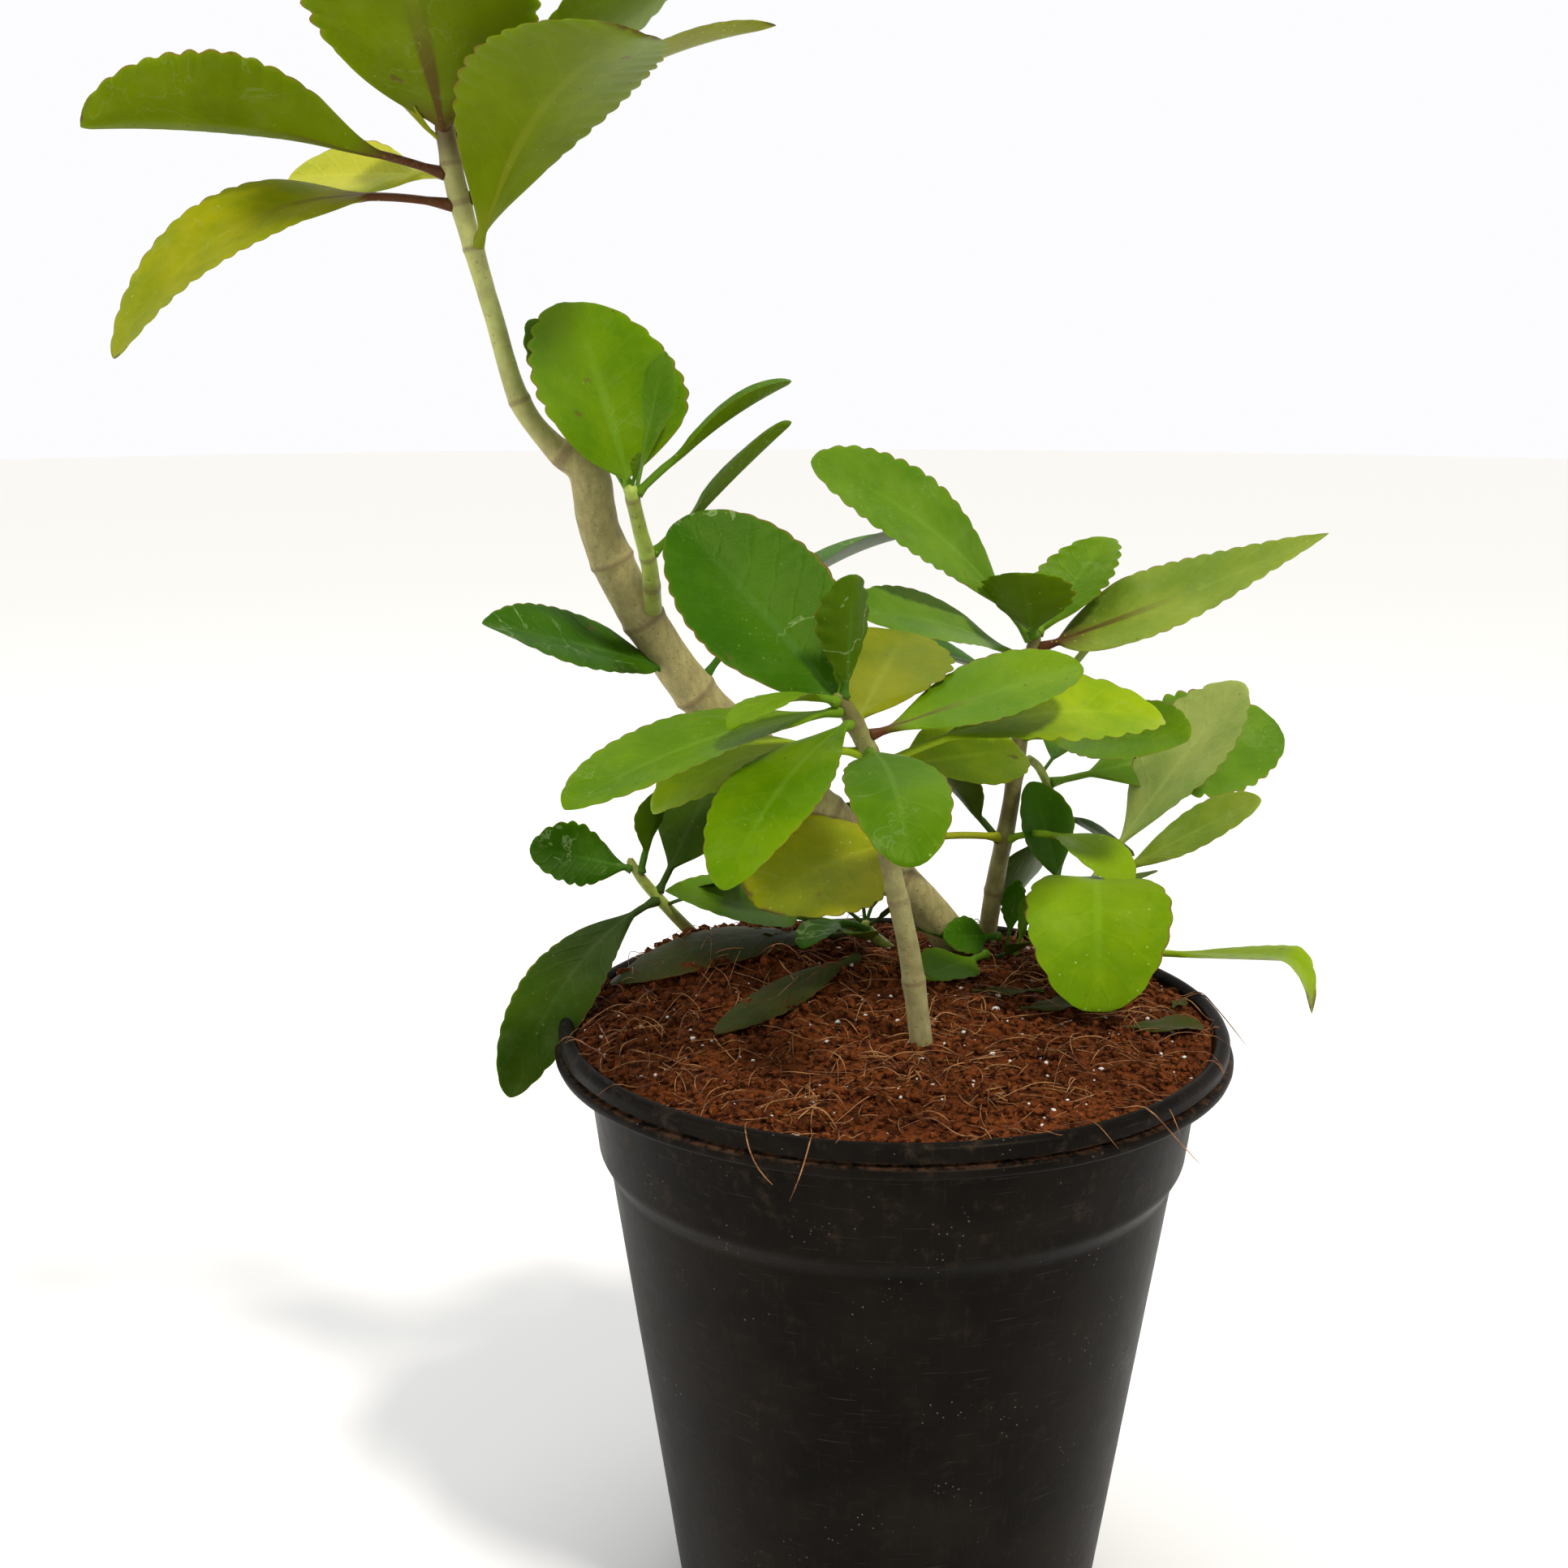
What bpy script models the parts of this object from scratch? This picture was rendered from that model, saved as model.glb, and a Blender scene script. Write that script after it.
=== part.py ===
"""A kalanchoe in a round black nursery pot, modelled piece by piece.

The file is in metres with +Z up, but the sizes below are in millimetres, as a grower would measure
them, and MM turns them into metres. The pot stands on z = 0 with its axis on x = y = 0, and the
plant faces -Y. Each stem is a tube along a route, and each leaf grows from a height on its stem.
"""

import math

import bmesh
import bpy
from mathutils import Vector

MM = 0.001
GAP = 0.3  # clearance between pieces that touch on the real plant

# Pot
POT_SEGMENTS = 48
POT_HEIGHT = 185.0
WALL = 1.7
BASE_RADIUS = 64.2
WALL_TAPER = 0.1416  # radius gained for each millimetre of height
STEP_Z = 140.5  # the crease where the straight wall ends
BAND_Z = 148.5
BAND_RADIUS = 87.6
LIP_Z = 176.0
LIP_RADIUS = 100.0
COLLAR_RADIUS = 98.8
COLLAR_INNER = 94.2
GROOVE_RADIUS = 97.4
PAD_RADIUS = 18.0  # the flat disc in the middle of the underside
CHANNEL_RISE = 3.0  # how far the drain channel stands clear of the ground
FOOT_WIDTH = 6.0
DRAIN_HOLES = 8
DRAIN_RADIUS = 4.0

# Soil
SOIL_SEGMENTS = 32
SOIL_RINGS = 7
SOIL_EDGE_Z = 183.2
SOIL_CROWN = 3.0
HEAP_HEIGHT = 9.5
HEAP_CENTRE = (-50.0, 46.0)
HEAP_SPREAD = 30.0
SOIL_CLEARANCE = 0.8  # to the pot's wall, which is faceted differently

# Stems
STEM_SIDES = 10
STEM_STEP = 9.0  # spacing of the rings along a stem

# Leaves
LEAF_RINGS = 10
PETIOLE_RADIUS = 1.3
PETIOLE_SHARE = 0.2  # how much of the leaf's length is stalk, unless it says otherwise
LEAF_HALF_THICKNESS = 0.55
MIDRIB_DEPTH = 0.85
DROP_FROM = 0.72  # where a bent tip starts to hang, as a share of the leaf's length
LYING_CLEARANCE = 1.7  # from the soil to the middle of a leaf that lies on it

BLACK_PLASTIC = ("black_plastic", (0.012, 0.012, 0.014), 0.42)
COCO_PEAT = ("coco_peat", (0.115, 0.035, 0.014), 0.95)
WOODY_STEM = ("woody_stem", (0.30, 0.25, 0.13), 0.75)
GREEN_STEM = ("green_stem", (0.26, 0.32, 0.10), 0.55)
LEAF_DEEP = ("leaf_deep", (0.020, 0.075, 0.016), 0.45)
LEAF_FRESH = ("leaf_fresh", (0.085, 0.235, 0.012), 0.40)
LEAF_YELLOW = ("leaf_yellow", (0.270, 0.330, 0.012), 0.42)
LEAF_GREY = ("leaf_grey", (0.165, 0.265, 0.065), 0.50)


def clear_scene():
    for obj in list(bpy.data.objects):
        bpy.data.objects.remove(obj, do_unlink=True)


def finish_of(slot):
    """The Principled material of a (name, colour, roughness) slot, made once."""
    name, colour, roughness = slot
    found = bpy.data.materials.get(name)
    if found:
        return found
    material = bpy.data.materials.new(name)
    material.use_nodes = True
    shader = material.node_tree.nodes["Principled BSDF"]
    shader.inputs["Base Color"].default_value = (*colour, 1.0)
    shader.inputs["Roughness"].default_value = roughness
    shader.inputs["Metallic"].default_value = 0.0
    material.diffuse_color = (*colour, 1.0)
    return material


def solid_from(name, points, faces, slot):
    """One closed object from points in millimetres, shaded smooth, with its faces turned outwards."""
    mesh = bpy.data.meshes.new(name)
    shape = bmesh.new()
    corners = [shape.verts.new(Vector(p) * MM) for p in points]
    for face in faces:
        shape.faces.new([corners[i] for i in face])
    bmesh.ops.recalc_face_normals(shape, faces=shape.faces)
    shape.to_mesh(mesh)
    shape.free()
    mesh.shade_smooth()
    mesh.set_sharp_from_angle(angle=math.radians(50))
    obj = bpy.data.objects.new(name, mesh)
    obj.data.materials.append(finish_of(slot))
    bpy.context.collection.objects.link(obj)
    return obj


def rings_to_faces(rings, sides, first_pole, last_pole):
    """Faces of a closed skin over rings of equal size, with a pole point at each end."""
    faces = []
    for side in range(sides):
        following = (side + 1) % sides
        faces.append((first_pole, following, side))
        for ring in range(rings - 1):
            low = ring * sides
            high = low + sides
            faces.append((low + side, low + following, high + following, high + side))
        top = (rings - 1) * sides
        faces.append((top + side, top + following, last_pole))
    return faces


# Pot: a turned shell with a stepped wall, a flanged lip and a rounded collar


def pot_wall_radius(z):
    """Outer radius of the pot at height z, from the foot to the underside of the lip."""
    if z <= STEP_Z:
        return BASE_RADIUS + WALL_TAPER * z
    if z <= BAND_Z:
        share = (z - STEP_Z) / (BAND_Z - STEP_Z)
        return pot_wall_radius(STEP_Z) + share * (BAND_RADIUS - pot_wall_radius(STEP_Z))
    return BAND_RADIUS + 0.125 * (z - BAND_Z)


def pot_profile():
    """The half section of the pot as (radius, z), up the outside and down the inside."""
    foot_inner = BASE_RADIUS - FOOT_WIDTH
    underside = [
        (PAD_RADIUS, 0.0),
        (PAD_RADIUS + 2.0, CHANNEL_RISE),
        (foot_inner - 2.0, CHANNEL_RISE),
        (foot_inner, 0.0),
        (BASE_RADIUS - 1.0, 0.0),
        (BASE_RADIUS, 1.0),
    ]
    outside = [(pot_wall_radius(z), z) for z in (45.0, 95.0, STEP_Z, STEP_Z + 3.0, BAND_Z, 164.0, LIP_Z)]
    lip = [
        (LIP_RADIUS - 0.8, LIP_Z),
        (LIP_RADIUS, LIP_Z + 0.8),
        (LIP_RADIUS, LIP_Z + 2.2),
        (LIP_RADIUS - 0.8, LIP_Z + 3.0),
        (GROOVE_RADIUS, LIP_Z + 3.2),
        (GROOVE_RADIUS, LIP_Z + 3.8),
        (COLLAR_RADIUS, LIP_Z + 4.2),
    ]
    middle = (COLLAR_RADIUS + COLLAR_INNER) / 2
    half = (COLLAR_RADIUS - COLLAR_INNER) / 2
    collar = []
    for degrees in range(0, 181, 30):
        turn = math.radians(degrees)
        collar.append((middle + half * math.cos(turn), POT_HEIGHT - half + half * math.sin(turn)))
    inside = [(pot_wall_radius(z) - WALL, z) for z in (LIP_Z - 2.0, BAND_Z, STEP_Z, 95.0, 45.0)]
    floor = [
        (pot_wall_radius(WALL) - WALL, WALL),
        (foot_inner + 0.5, WALL),
        (foot_inner - 1.5, CHANNEL_RISE + WALL),
        (PAD_RADIUS + 1.0, CHANNEL_RISE + WALL),
        (PAD_RADIUS - 1.0, WALL),
    ]
    return underside + outside + lip + collar + inside + floor


def turned(name, profile, segments, slot):
    """A turned solid whose profile starts and ends on the axis."""
    rings = len(profile)
    points = []
    for radius, z in profile:
        for segment in range(segments):
            turn = 2 * math.pi * segment / segments
            points.append((radius * math.cos(turn), radius * math.sin(turn), z))
    points.append((0.0, 0.0, profile[0][1]))
    points.append((0.0, 0.0, profile[-1][1]))
    faces = rings_to_faces(rings, segments, len(points) - 2, len(points) - 1)
    return solid_from(name, points, faces, slot)


def drain_cutter():
    """Eight upright rods that cut the drain holes, joined as one hidden cutter."""
    mesh = bpy.data.meshes.new("drain_cutter")
    rods = bmesh.new()
    ring_radius = (PAD_RADIUS + BASE_RADIUS - FOOT_WIDTH) / 2
    for hole in range(DRAIN_HOLES):
        turn = 2 * math.pi * (hole + 0.5) / DRAIN_HOLES
        made = bmesh.ops.create_cone(
            rods, cap_ends=True, segments=12, radius1=DRAIN_RADIUS * MM, radius2=DRAIN_RADIUS * MM, depth=16 * MM
        )
        shift = Vector((ring_radius * math.cos(turn), ring_radius * math.sin(turn), 4.0)) * MM
        bmesh.ops.translate(rods, verts=made["verts"], vec=shift)
    rods.to_mesh(mesh)
    rods.free()
    cutter = bpy.data.objects.new("drain_cutter", mesh)
    bpy.context.collection.objects.link(cutter)
    cutter.hide_render = True
    cutter.display_type = "WIRE"
    return cutter


def make_pot():
    pot = turned("pot", pot_profile(), POT_SEGMENTS, BLACK_PLASTIC)
    holes = pot.modifiers.new("drain_holes", "BOOLEAN")
    holes.operation = "DIFFERENCE"
    holes.solver = "EXACT"
    holes.object = drain_cutter()


# Soil: fills the pot to just under the collar and is heaped up behind, on the left


def soil_height(x, y):
    """Height of the soil's surface above the ground."""
    radius = math.hypot(x, y)
    inner = COLLAR_INNER - SOIL_CLEARANCE
    edge = min(1.0, max(0.0, (inner - radius) / 9.0))
    crown = SOIL_CROWN * (1.0 - (radius / inner) ** 2)
    away = (x - HEAP_CENTRE[0]) ** 2 + (y - HEAP_CENTRE[1]) ** 2
    heap = HEAP_HEIGHT * math.exp(-away / (2 * HEAP_SPREAD**2))
    return SOIL_EDGE_Z + crown + edge * heap


def make_soil():
    side = []
    for z in (CHANNEL_RISE + WALL + GAP, 45.0, 95.0, STEP_Z, BAND_Z, LIP_Z - 2.0):
        side.append((pot_wall_radius(z) - WALL - SOIL_CLEARANCE, z))
    top_radius = COLLAR_INNER - SOIL_CLEARANCE
    side.append((top_radius, SOIL_EDGE_Z - 1.0))
    points = []
    for radius, z in side:
        for segment in range(SOIL_SEGMENTS):
            turn = 2 * math.pi * segment / SOIL_SEGMENTS
            points.append((radius * math.cos(turn), radius * math.sin(turn), z))
    for ring in range(SOIL_RINGS):
        radius = top_radius * (1.0 - ring / SOIL_RINGS)
        for segment in range(SOIL_SEGMENTS):
            turn = 2 * math.pi * segment / SOIL_SEGMENTS
            x = radius * math.cos(turn)
            y = radius * math.sin(turn)
            points.append((x, y, soil_height(x, y)))
    points.append((0.0, 0.0, side[0][1]))
    points.append((0.0, 0.0, soil_height(0.0, 0.0)))
    rings = len(side) + SOIL_RINGS
    solid_from("soil", points, rings_to_faces(rings, SOIL_SEGMENTS, len(points) - 2, len(points) - 1), COCO_PEAT)


# Stems: each is a route of (x, y, z, radius) knots, smoothed by a spline

STEMS = {
    "main_stem": [
        (25, 62, 186, 6.4),
        (14, 56, 202, 6.2),
        (-10, 44, 231, 6.2),
        (-37, 32, 260, 6.3),
        (-63, 22, 292, 6.1),
        (-79, 15, 324, 5.9),
        (-88, 10, 344, 5.6),
        (-97, 8, 351, 3.4),
        (-106, 5, 364, 2.9),
        (-112, 3, 386, 2.6),
        (-117, 2, 405, 2.7),
        (-121, 0, 422, 2.9),
        (-123, -1, 437, 2.5),
        (-123, -2, 446, 1.6),
    ],
    "middle_shoot": [
        (-65, 12, 301, 2.6),
        (-70, 0, 318, 2.3),
        (-72, -7, 329, 2.1),
        (-74, -14, 341, 1.8),
    ],
    "front_stem": [
        (7, -28, 186, 3.6),
        (3, -30, 214, 3.5),
        (-3, -32, 241, 3.4),
        (-7, -34, 266, 3.2),
        (-14, -38, 282, 2.8),
        (-18, -40, 288, 2.0),
    ],
    "right_stem": [
        (35, 68, 186, 3.3),
        (37, 60, 210, 3.2),
        (40, 54, 234, 3.0),
        (42, 48, 260, 3.0),
        (44, 43, 282, 2.7),
        (45, 41, 293, 1.9),
    ],
    "left_shoot": [
        (-62, 57, 192, 2.0),
        (-69, 53, 201, 1.9),
        (-77, 49, 212, 1.7),
        (-81, 48, 219, 1.2),
    ],
    "low_right_shoot": [
        (52, 50, 186, 2.3),
        (57, 48, 200, 2.2),
        (61, 45, 208, 2.0),
        (65, 39, 213, 1.5),
    ],
    "seedling": [
        (1, 60, 187, 1.8),
        (-3, 58, 191, 1.8),
        (-6, 55, 196, 1.4),
    ],
    "side_twig": [
        (46, 57, 250, 1.3),
        (50, 61, 246, 1.4),
        (54, 64, 238, 1.4),
        (57, 66, 229, 1.2),
    ],
}


def spline(knots, at):
    """The Catmull-Rom value at a place counted in knots, for knots of any number of values."""
    last = len(knots) - 1
    start = min(int(at), last - 1)
    u = at - start
    before, a, b, after = (knots[min(max(start + k, 0), last)] for k in (-1, 0, 1, 2))
    found = []
    for p, q, r, s in zip(before, a, b, after):
        found.append(0.5 * (2 * q + (r - p) * u + (2 * p - 5 * q + 4 * r - s) * u**2 + (3 * q - p - 3 * r + s) * u**3))
    return found


def stem_samples(route):
    """Points and radii along a stem, about STEM_STEP apart."""
    samples = []
    for knot in range(len(route) - 1):
        span = math.dist(route[knot][:3], route[knot + 1][:3])
        count = max(1, round(span / STEM_STEP))
        for step in range(count):
            samples.append(spline(route, knot + step / count))
    samples.append(list(route[-1]))
    return [(Vector(s[:3]), s[3]) for s in samples]


def tube(name, samples, sides, slot):
    """A closed round tube through samples of (point, radius), with a low dome on each end."""
    points = []
    count = len(samples)
    across = Vector((1.0, 0.0, 0.0))
    for index, (centre, radius) in enumerate(samples):
        ahead = samples[min(index + 1, count - 1)][0] - samples[max(index - 1, 0)][0]
        ahead.normalize()
        across = (across - ahead * across.dot(ahead)).normalized()
        other = ahead.cross(across)
        for side in range(sides):
            turn = 2 * math.pi * side / sides
            points.append(centre + radius * (math.cos(turn) * across + math.sin(turn) * other))
    first = (samples[0][0] - samples[1][0]).normalized()
    last = (samples[-1][0] - samples[-2][0]).normalized()
    points.append(samples[0][0] + first * 0.1 * samples[0][1])
    points.append(samples[-1][0] + last * 0.6 * samples[-1][1])
    return solid_from(name, points, rings_to_faces(count, sides, len(points) - 2, len(points) - 1), slot)


def make_stems():
    for name, route in STEMS.items():
        samples = stem_samples(route)
        foot, radius = samples[0]
        if foot.z < 200:
            samples[0] = (Vector((foot.x, foot.y, soil_height(foot.x, foot.y) + 1.05 * radius)), radius)
        slot = WOODY_STEM if name in ("main_stem", "front_stem", "right_stem") else GREEN_STEM
        tube(name, samples, STEM_SIDES, slot)


# Leaves: a stalk that widens into a blade along one arched line

# What a leaf is given, all in millimetres, degrees and shares of its length:
#   name, stem, height on the stem, azimuth (0 = +X, 90 = +Y), rise, length, width, and then
#   arch: how far its middle bows upwards from the straight line
#   roll: its turn about its own line, to the right as seen from the stem
#   fold: how far each half is lifted from flat, like a half-open book
#   petiole: the share that is stalk, and widest: where the blade is widest, as a share of the blade
#   drop: how far a bent tip hangs
LEAVES = [
    # crown of the main stem
    ("top_leaf_front", "main_stem", 436, 268, 39, 84, 66, {"slot": LEAF_YELLOW, "petiole": 0.02, "widest": 0.48}),
    ("top_leaf_left", "main_stem", 432, 196, 1, 93, 42, {"slot": LEAF_YELLOW, "arch": 0.05, "fold": 35, "roll": 30}),
    ("top_leaf_low_left", "main_stem", 417, 200, -25, 101, 34, {"slot": LEAF_YELLOW, "arch": 0.15, "roll": -40, "widest": 0.44}),
    ("top_leaf_back", "main_stem", 428, 132, 10, 74, 32, {"slot": LEAF_GREY, "roll": 50, "petiole": 0.3}),
    ("top_leaf_right_front", "main_stem", 405, 300, 33, 92, 50, {"slot": LEAF_YELLOW, "arch": 0.14, "petiole": 0.2, "widest": 0.5}),
    ("top_leaf_right_back", "main_stem", 434, 34, 36, 87, 36, {"slot": LEAF_FRESH, "roll": -40}),
    ("top_leaf_right", "main_stem", 416, 9, 29, 99, 32, {"slot": LEAF_YELLOW, "arch": 0.09}),
    # shoot half way up the main stem
    ("round_leaf", "middle_shoot", 340, 136, 65, 54, 49, {"slot": LEAF_FRESH, "petiole": 0.1, "widest": 0.5}),
    ("narrow_leaf_high", "middle_shoot", 339, 10, 35, 54, 20, {"slot": LEAF_DEEP, "arch": 0.04, "fold": 25}),
    ("narrow_leaf_low", "middle_shoot", 321, 3, 43, 55, 18, {"slot": LEAF_DEEP, "fold": 25}),
    ("scratched_leaf", "main_stem", 295, 225, 14, 68, 26, {"slot": LEAF_DEEP, "roll": -30, "petiole": 0.1}),
    # crown of the front stem
    ("big_leaf", "front_stem", 286, 148, 46, 64, 44, {"slot": LEAF_FRESH, "petiole": 0.08, "widest": 0.52}),
    ("upright_leaf", "front_stem", 287, 323, 80, 31, 18, {"slot": LEAF_FRESH, "fold": 35, "petiole": 0.1}),
    ("long_left_leaf", "front_stem", 285, 210, -12, 83, 24, {"slot": LEAF_FRESH, "arch": 0.05, "petiole": 0.12}),
    ("young_leaf", "front_stem", 288, 231, -1, 45, 11, {"slot": LEAF_FRESH, "arch": 0.1}),
    ("yellow_leaf_left", "front_stem", 272, 194, -13, 61, 22, {"slot": LEAF_YELLOW, "arch": 0.12}),
    ("bright_front_leaf", "front_stem", 281, 240, -25, 71, 27, {"slot": LEAF_FRESH, "arch": 0.08, "petiole": 0.05}),
    ("small_round_leaf", "front_stem", 272, 280, -21, 53, 27, {"slot": LEAF_FRESH, "arch": 0.15, "petiole": 0.06}),
    ("brown_edged_leaf", "right_stem", 225, 216, -4, 98, 34, {"slot": LEAF_YELLOW, "arch": 0.08, "widest": 0.7}),
    ("right_leaf_top", "front_stem", 276, 11, 12, 63, 30, {"slot": LEAF_FRESH, "roll": 25, "petiole": 0.1}),
    ("torn_leaf", "front_stem", 268, 14, 9, 84, 30, {"slot": LEAF_YELLOW, "arch": 0.08, "roll": 20, "petiole": 0.3}),
    ("right_leaf_low", "right_stem", 260, 315, 10, 62, 28, {"slot": LEAF_FRESH, "roll": 25}),
    ("olive_leaf_up", "front_stem", 280, 68, 23, 43, 32, {"slot": LEAF_YELLOW, "roll": 10, "petiole": 0.06}),
    ("olive_leaf_low", "front_stem", 266, 39, -2, 54, 26, {"slot": LEAF_YELLOW, "roll": 25}),
    # crown of the right stem
    ("right_crown_left", "right_stem", 291, 197, 38, 90, 30, {"slot": LEAF_FRESH, "arch": 0.07, "roll": -50}),
    ("right_crown_young", "right_stem", 292, 38, 42, 42, 30, {"slot": LEAF_FRESH, "petiole": 0.1, "widest": 0.52}),
    ("right_crown_small", "right_stem", 292, 236, 30, 36, 24, {"slot": LEAF_FRESH}),
    ("right_crown_right", "right_stem", 288, 345, 24, 92, 26, {"slot": LEAF_GREY, "arch": -0.03, "roll": 30}),
    ("dark_leaf_back", "main_stem", 280, 23, 30, 72, 30, {"slot": LEAF_DEEP, "arch": 0.1}),
    ("right_stem_left_leaf", "right_stem", 284, 214, 19, 71, 28, {"slot": LEAF_FRESH, "arch": 0.05, "roll": -25}),
    ("dark_leaf_middle", "right_stem", 278, 160, 12, 49, 22, {"slot": LEAF_DEEP}),
    ("pale_leaf", "low_right_shoot", 208, 15, 51, 87, 26, {"slot": LEAF_GREY, "petiole": 0.35}),
    ("broad_leaf_right", "side_twig", 240, 15, 9, 84, 38, {"slot": LEAF_GREY, "roll": 45}),
    ("spotted_leaf", "low_right_shoot", 212, 345, 32, 60, 20, {"slot": LEAF_GREY, "roll": 30}),
    ("hanging_leaf", "right_stem", 225, 309, -6, 53, 22, {"slot": LEAF_FRESH, "arch": 0.15, "petiole": 0.3}),
    ("shaded_leaf_left", "right_stem", 224, 216, 46, 50, 24, {"slot": LEAF_DEEP}),
    ("shaded_leaf_right", "side_twig", 229, 136, -63, 29, 24, {"slot": LEAF_DEEP}),
    ("disc_leaf", "low_right_shoot", 212, 262, -26, 59, 44, {"slot": LEAF_YELLOW, "arch": 0.34, "widest": 0.5}),
    ("bent_leaf", "low_right_shoot", 190, 326, 8, 89, 14, {"slot": LEAF_YELLOW, "petiole": 0.45, "drop": 15}),
    # shoot by the left edge
    ("left_shoot_leaf", "left_shoot", 217, 195, 15, 33, 20, {"slot": LEAF_DEEP, "roll": -40, "petiole": 0.08}),
    ("left_shoot_upright", "left_shoot", 215, 325, 74, 22, 10, {"slot": LEAF_DEEP}),
    ("overhanging_leaf", "left_shoot", 206, 239, -26, 89, 24, {"slot": LEAF_DEEP, "arch": 0.16, "roll": -10}),
    ("left_shoot_inner", "left_shoot", 207, 18, 62, 48, 28, {"slot": LEAF_DEEP, "petiole": 0.25}),
    # seedling behind the front stem
    ("pointed_low_leaf", "seedling", 194, 205, 17, 73, 20, {"slot": LEAF_GREY, "petiole": 0.4, "widest": 0.4}),
    ("seedling_leaf", "seedling", 194, 231, 3, 45, 20, {"slot": LEAF_FRESH, "arch": 0.15, "petiole": 0.4}),
]


def place_on_stem(stem, height):
    """Centre, radius and direction of a stem where it reaches a height."""
    samples = stem_samples(STEMS[stem])
    nearest = None
    for (low, low_radius), (high, high_radius) in zip(samples, samples[1:]):
        rise = high.z - low.z
        share = min(1.0, max(0.0, (height - low.z) / rise)) if rise else 0.0
        centre = low.lerp(high, share)
        miss = abs(centre.z - height)
        if nearest is None or miss < nearest[0]:
            radius = low_radius + (high_radius - low_radius) * share
            nearest = (miss, centre, radius, (high - low).normalized())
    return nearest[1:]


def outline(u, widest):
    """Share of the full width at a share u of the blade: a wedge at the stalk and a round tip."""
    swell = math.sin(math.pi * u ** (math.log(0.5) / math.log(widest)))
    return swell ** (1.0 if u < widest else 0.55)


def leaf_frame(azimuth, rise):
    """Unit vectors along a leaf, up from it and to its right."""
    turn = math.radians(azimuth)
    climb = math.radians(rise)
    along = Vector((math.cos(turn) * math.cos(climb), math.sin(turn) * math.cos(climb), math.sin(climb)))
    up = Vector((-math.cos(turn) * math.sin(climb), -math.sin(turn) * math.sin(climb), math.cos(climb)))
    return along, up, along.cross(up)


def leaf_ring(centre, out, right, half_width, fold, depth):
    """Six points round one section: the two margins, the crease above and a keel below."""
    lift = math.radians(fold)
    margin = (right * math.cos(lift) + out * math.sin(lift)) * half_width
    other = (-right * math.cos(lift) + out * math.sin(lift)) * half_width
    underside = out * (LEAF_HALF_THICKNESS + 0.25)
    return [
        centre + margin,
        centre + out * LEAF_HALF_THICKNESS,
        centre + other,
        centre + other * 0.45 - underside,
        centre - out * depth,
        centre + margin * 0.45 - underside,
    ]


def leaf_points(start, azimuth, rise, length, width, look):
    """The ring points of a leaf, then its two end points."""
    arch = look.get("arch", 0.0)
    petiole = look.get("petiole", PETIOLE_SHARE)
    drop = look.get("drop", 0.0)
    lean = math.radians(look.get("roll", 0.0))
    along, up, right = leaf_frame(azimuth, rise)

    def centre_at(t):
        bend = max(0.0, (t - DROP_FROM) / (1 - DROP_FROM)) ** 1.5
        hang = Vector((0.0, 0.0, -drop)) - along * (0.6 * drop)
        return start + along * (length * t) + up * (4 * arch * length * t * (1 - t)) + hang * bend

    points = []
    for ring in range(LEAF_RINGS):
        t = (ring + 0.4) / LEAF_RINGS
        ahead = (centre_at(t + 0.01) - centre_at(t - 0.01)).normalized()
        level = right.cross(ahead)
        out = level * math.cos(lean) + right * math.sin(lean)
        side = ahead.cross(out)
        u = max(0.0, (t - petiole) / (1 - petiole))
        blade = width / 2 * outline(u, look.get("widest", 0.58)) if u > 0 else 0.0
        half_width = max(PETIOLE_RADIUS * (0.7 if ring == 0 else 1.0), blade)
        fold = look.get("fold", 12) * min(1.0, u * 4)
        depth = PETIOLE_RADIUS + (MIDRIB_DEPTH - PETIOLE_RADIUS) * u
        points.extend(leaf_ring(centre_at(t), out, side, half_width, fold, depth))
    points.append(start)
    points.append(centre_at(1.0))
    return points


def leaf(name, points, slot):
    return solid_from(name, points, rings_to_faces(LEAF_RINGS, 6, len(points) - 2, len(points) - 1), slot)


def make_leaves():
    for name, stem, height, azimuth, rise, length, width, look in LEAVES:
        centre, radius, along_stem = place_on_stem(stem, height)
        along = leaf_frame(azimuth, rise)[0]
        away = (along - along_stem * along.dot(along_stem)).normalized()
        start = centre + away * (radius + GAP + 0.1)
        reach = length - (radius + GAP) * along.dot(away)
        leaf(name, leaf_points(start, azimuth, rise, reach, width, look), look["slot"])


# Leaves with no stem: two fell on the soil, and two small ones are rooted by the right stem


def make_fallen_leaves():
    """Flat leaves that follow the soil they lie on."""
    fallen = [
        ("fallen_leaf_long", (-9, 33), 234, 72, 20),
        ("fallen_leaf_broad", (-12, 55), 214, 74, 32),
    ]
    for name, (x, y), azimuth, length, width in fallen:
        flat = {"petiole": 0.06, "fold": 0, "widest": 0.55}
        points = []
        for point in leaf_points(Vector((x, y, 0.0)), azimuth, 0, length, width, flat):
            points.append(point + Vector((0.0, 0.0, soil_height(point.x, point.y) + LYING_CLEARANCE)))
        leaf(name, points, LEAF_DEEP)


def make_rooted_leaves():
    rooted = [
        ("rooted_leaf_upper", (38, 56, 191), 208, 8, 22, 14, {"roll": -50, "widest": 0.5, "slot": LEAF_DEEP}),
        ("rooted_leaf_lower", (33, 47, 188), 231, 0, 30, 15, {"roll": -15, "widest": 0.5, "slot": LEAF_DEEP}),
    ]
    for name, start, azimuth, rise, length, width, look in rooted:
        leaf(name, leaf_points(Vector(start), azimuth, rise, length, width, look), look["slot"])


clear_scene()
make_pot()
make_soil()
make_stems()
make_leaves()
make_fallen_leaves()
make_rooted_leaves()
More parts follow.
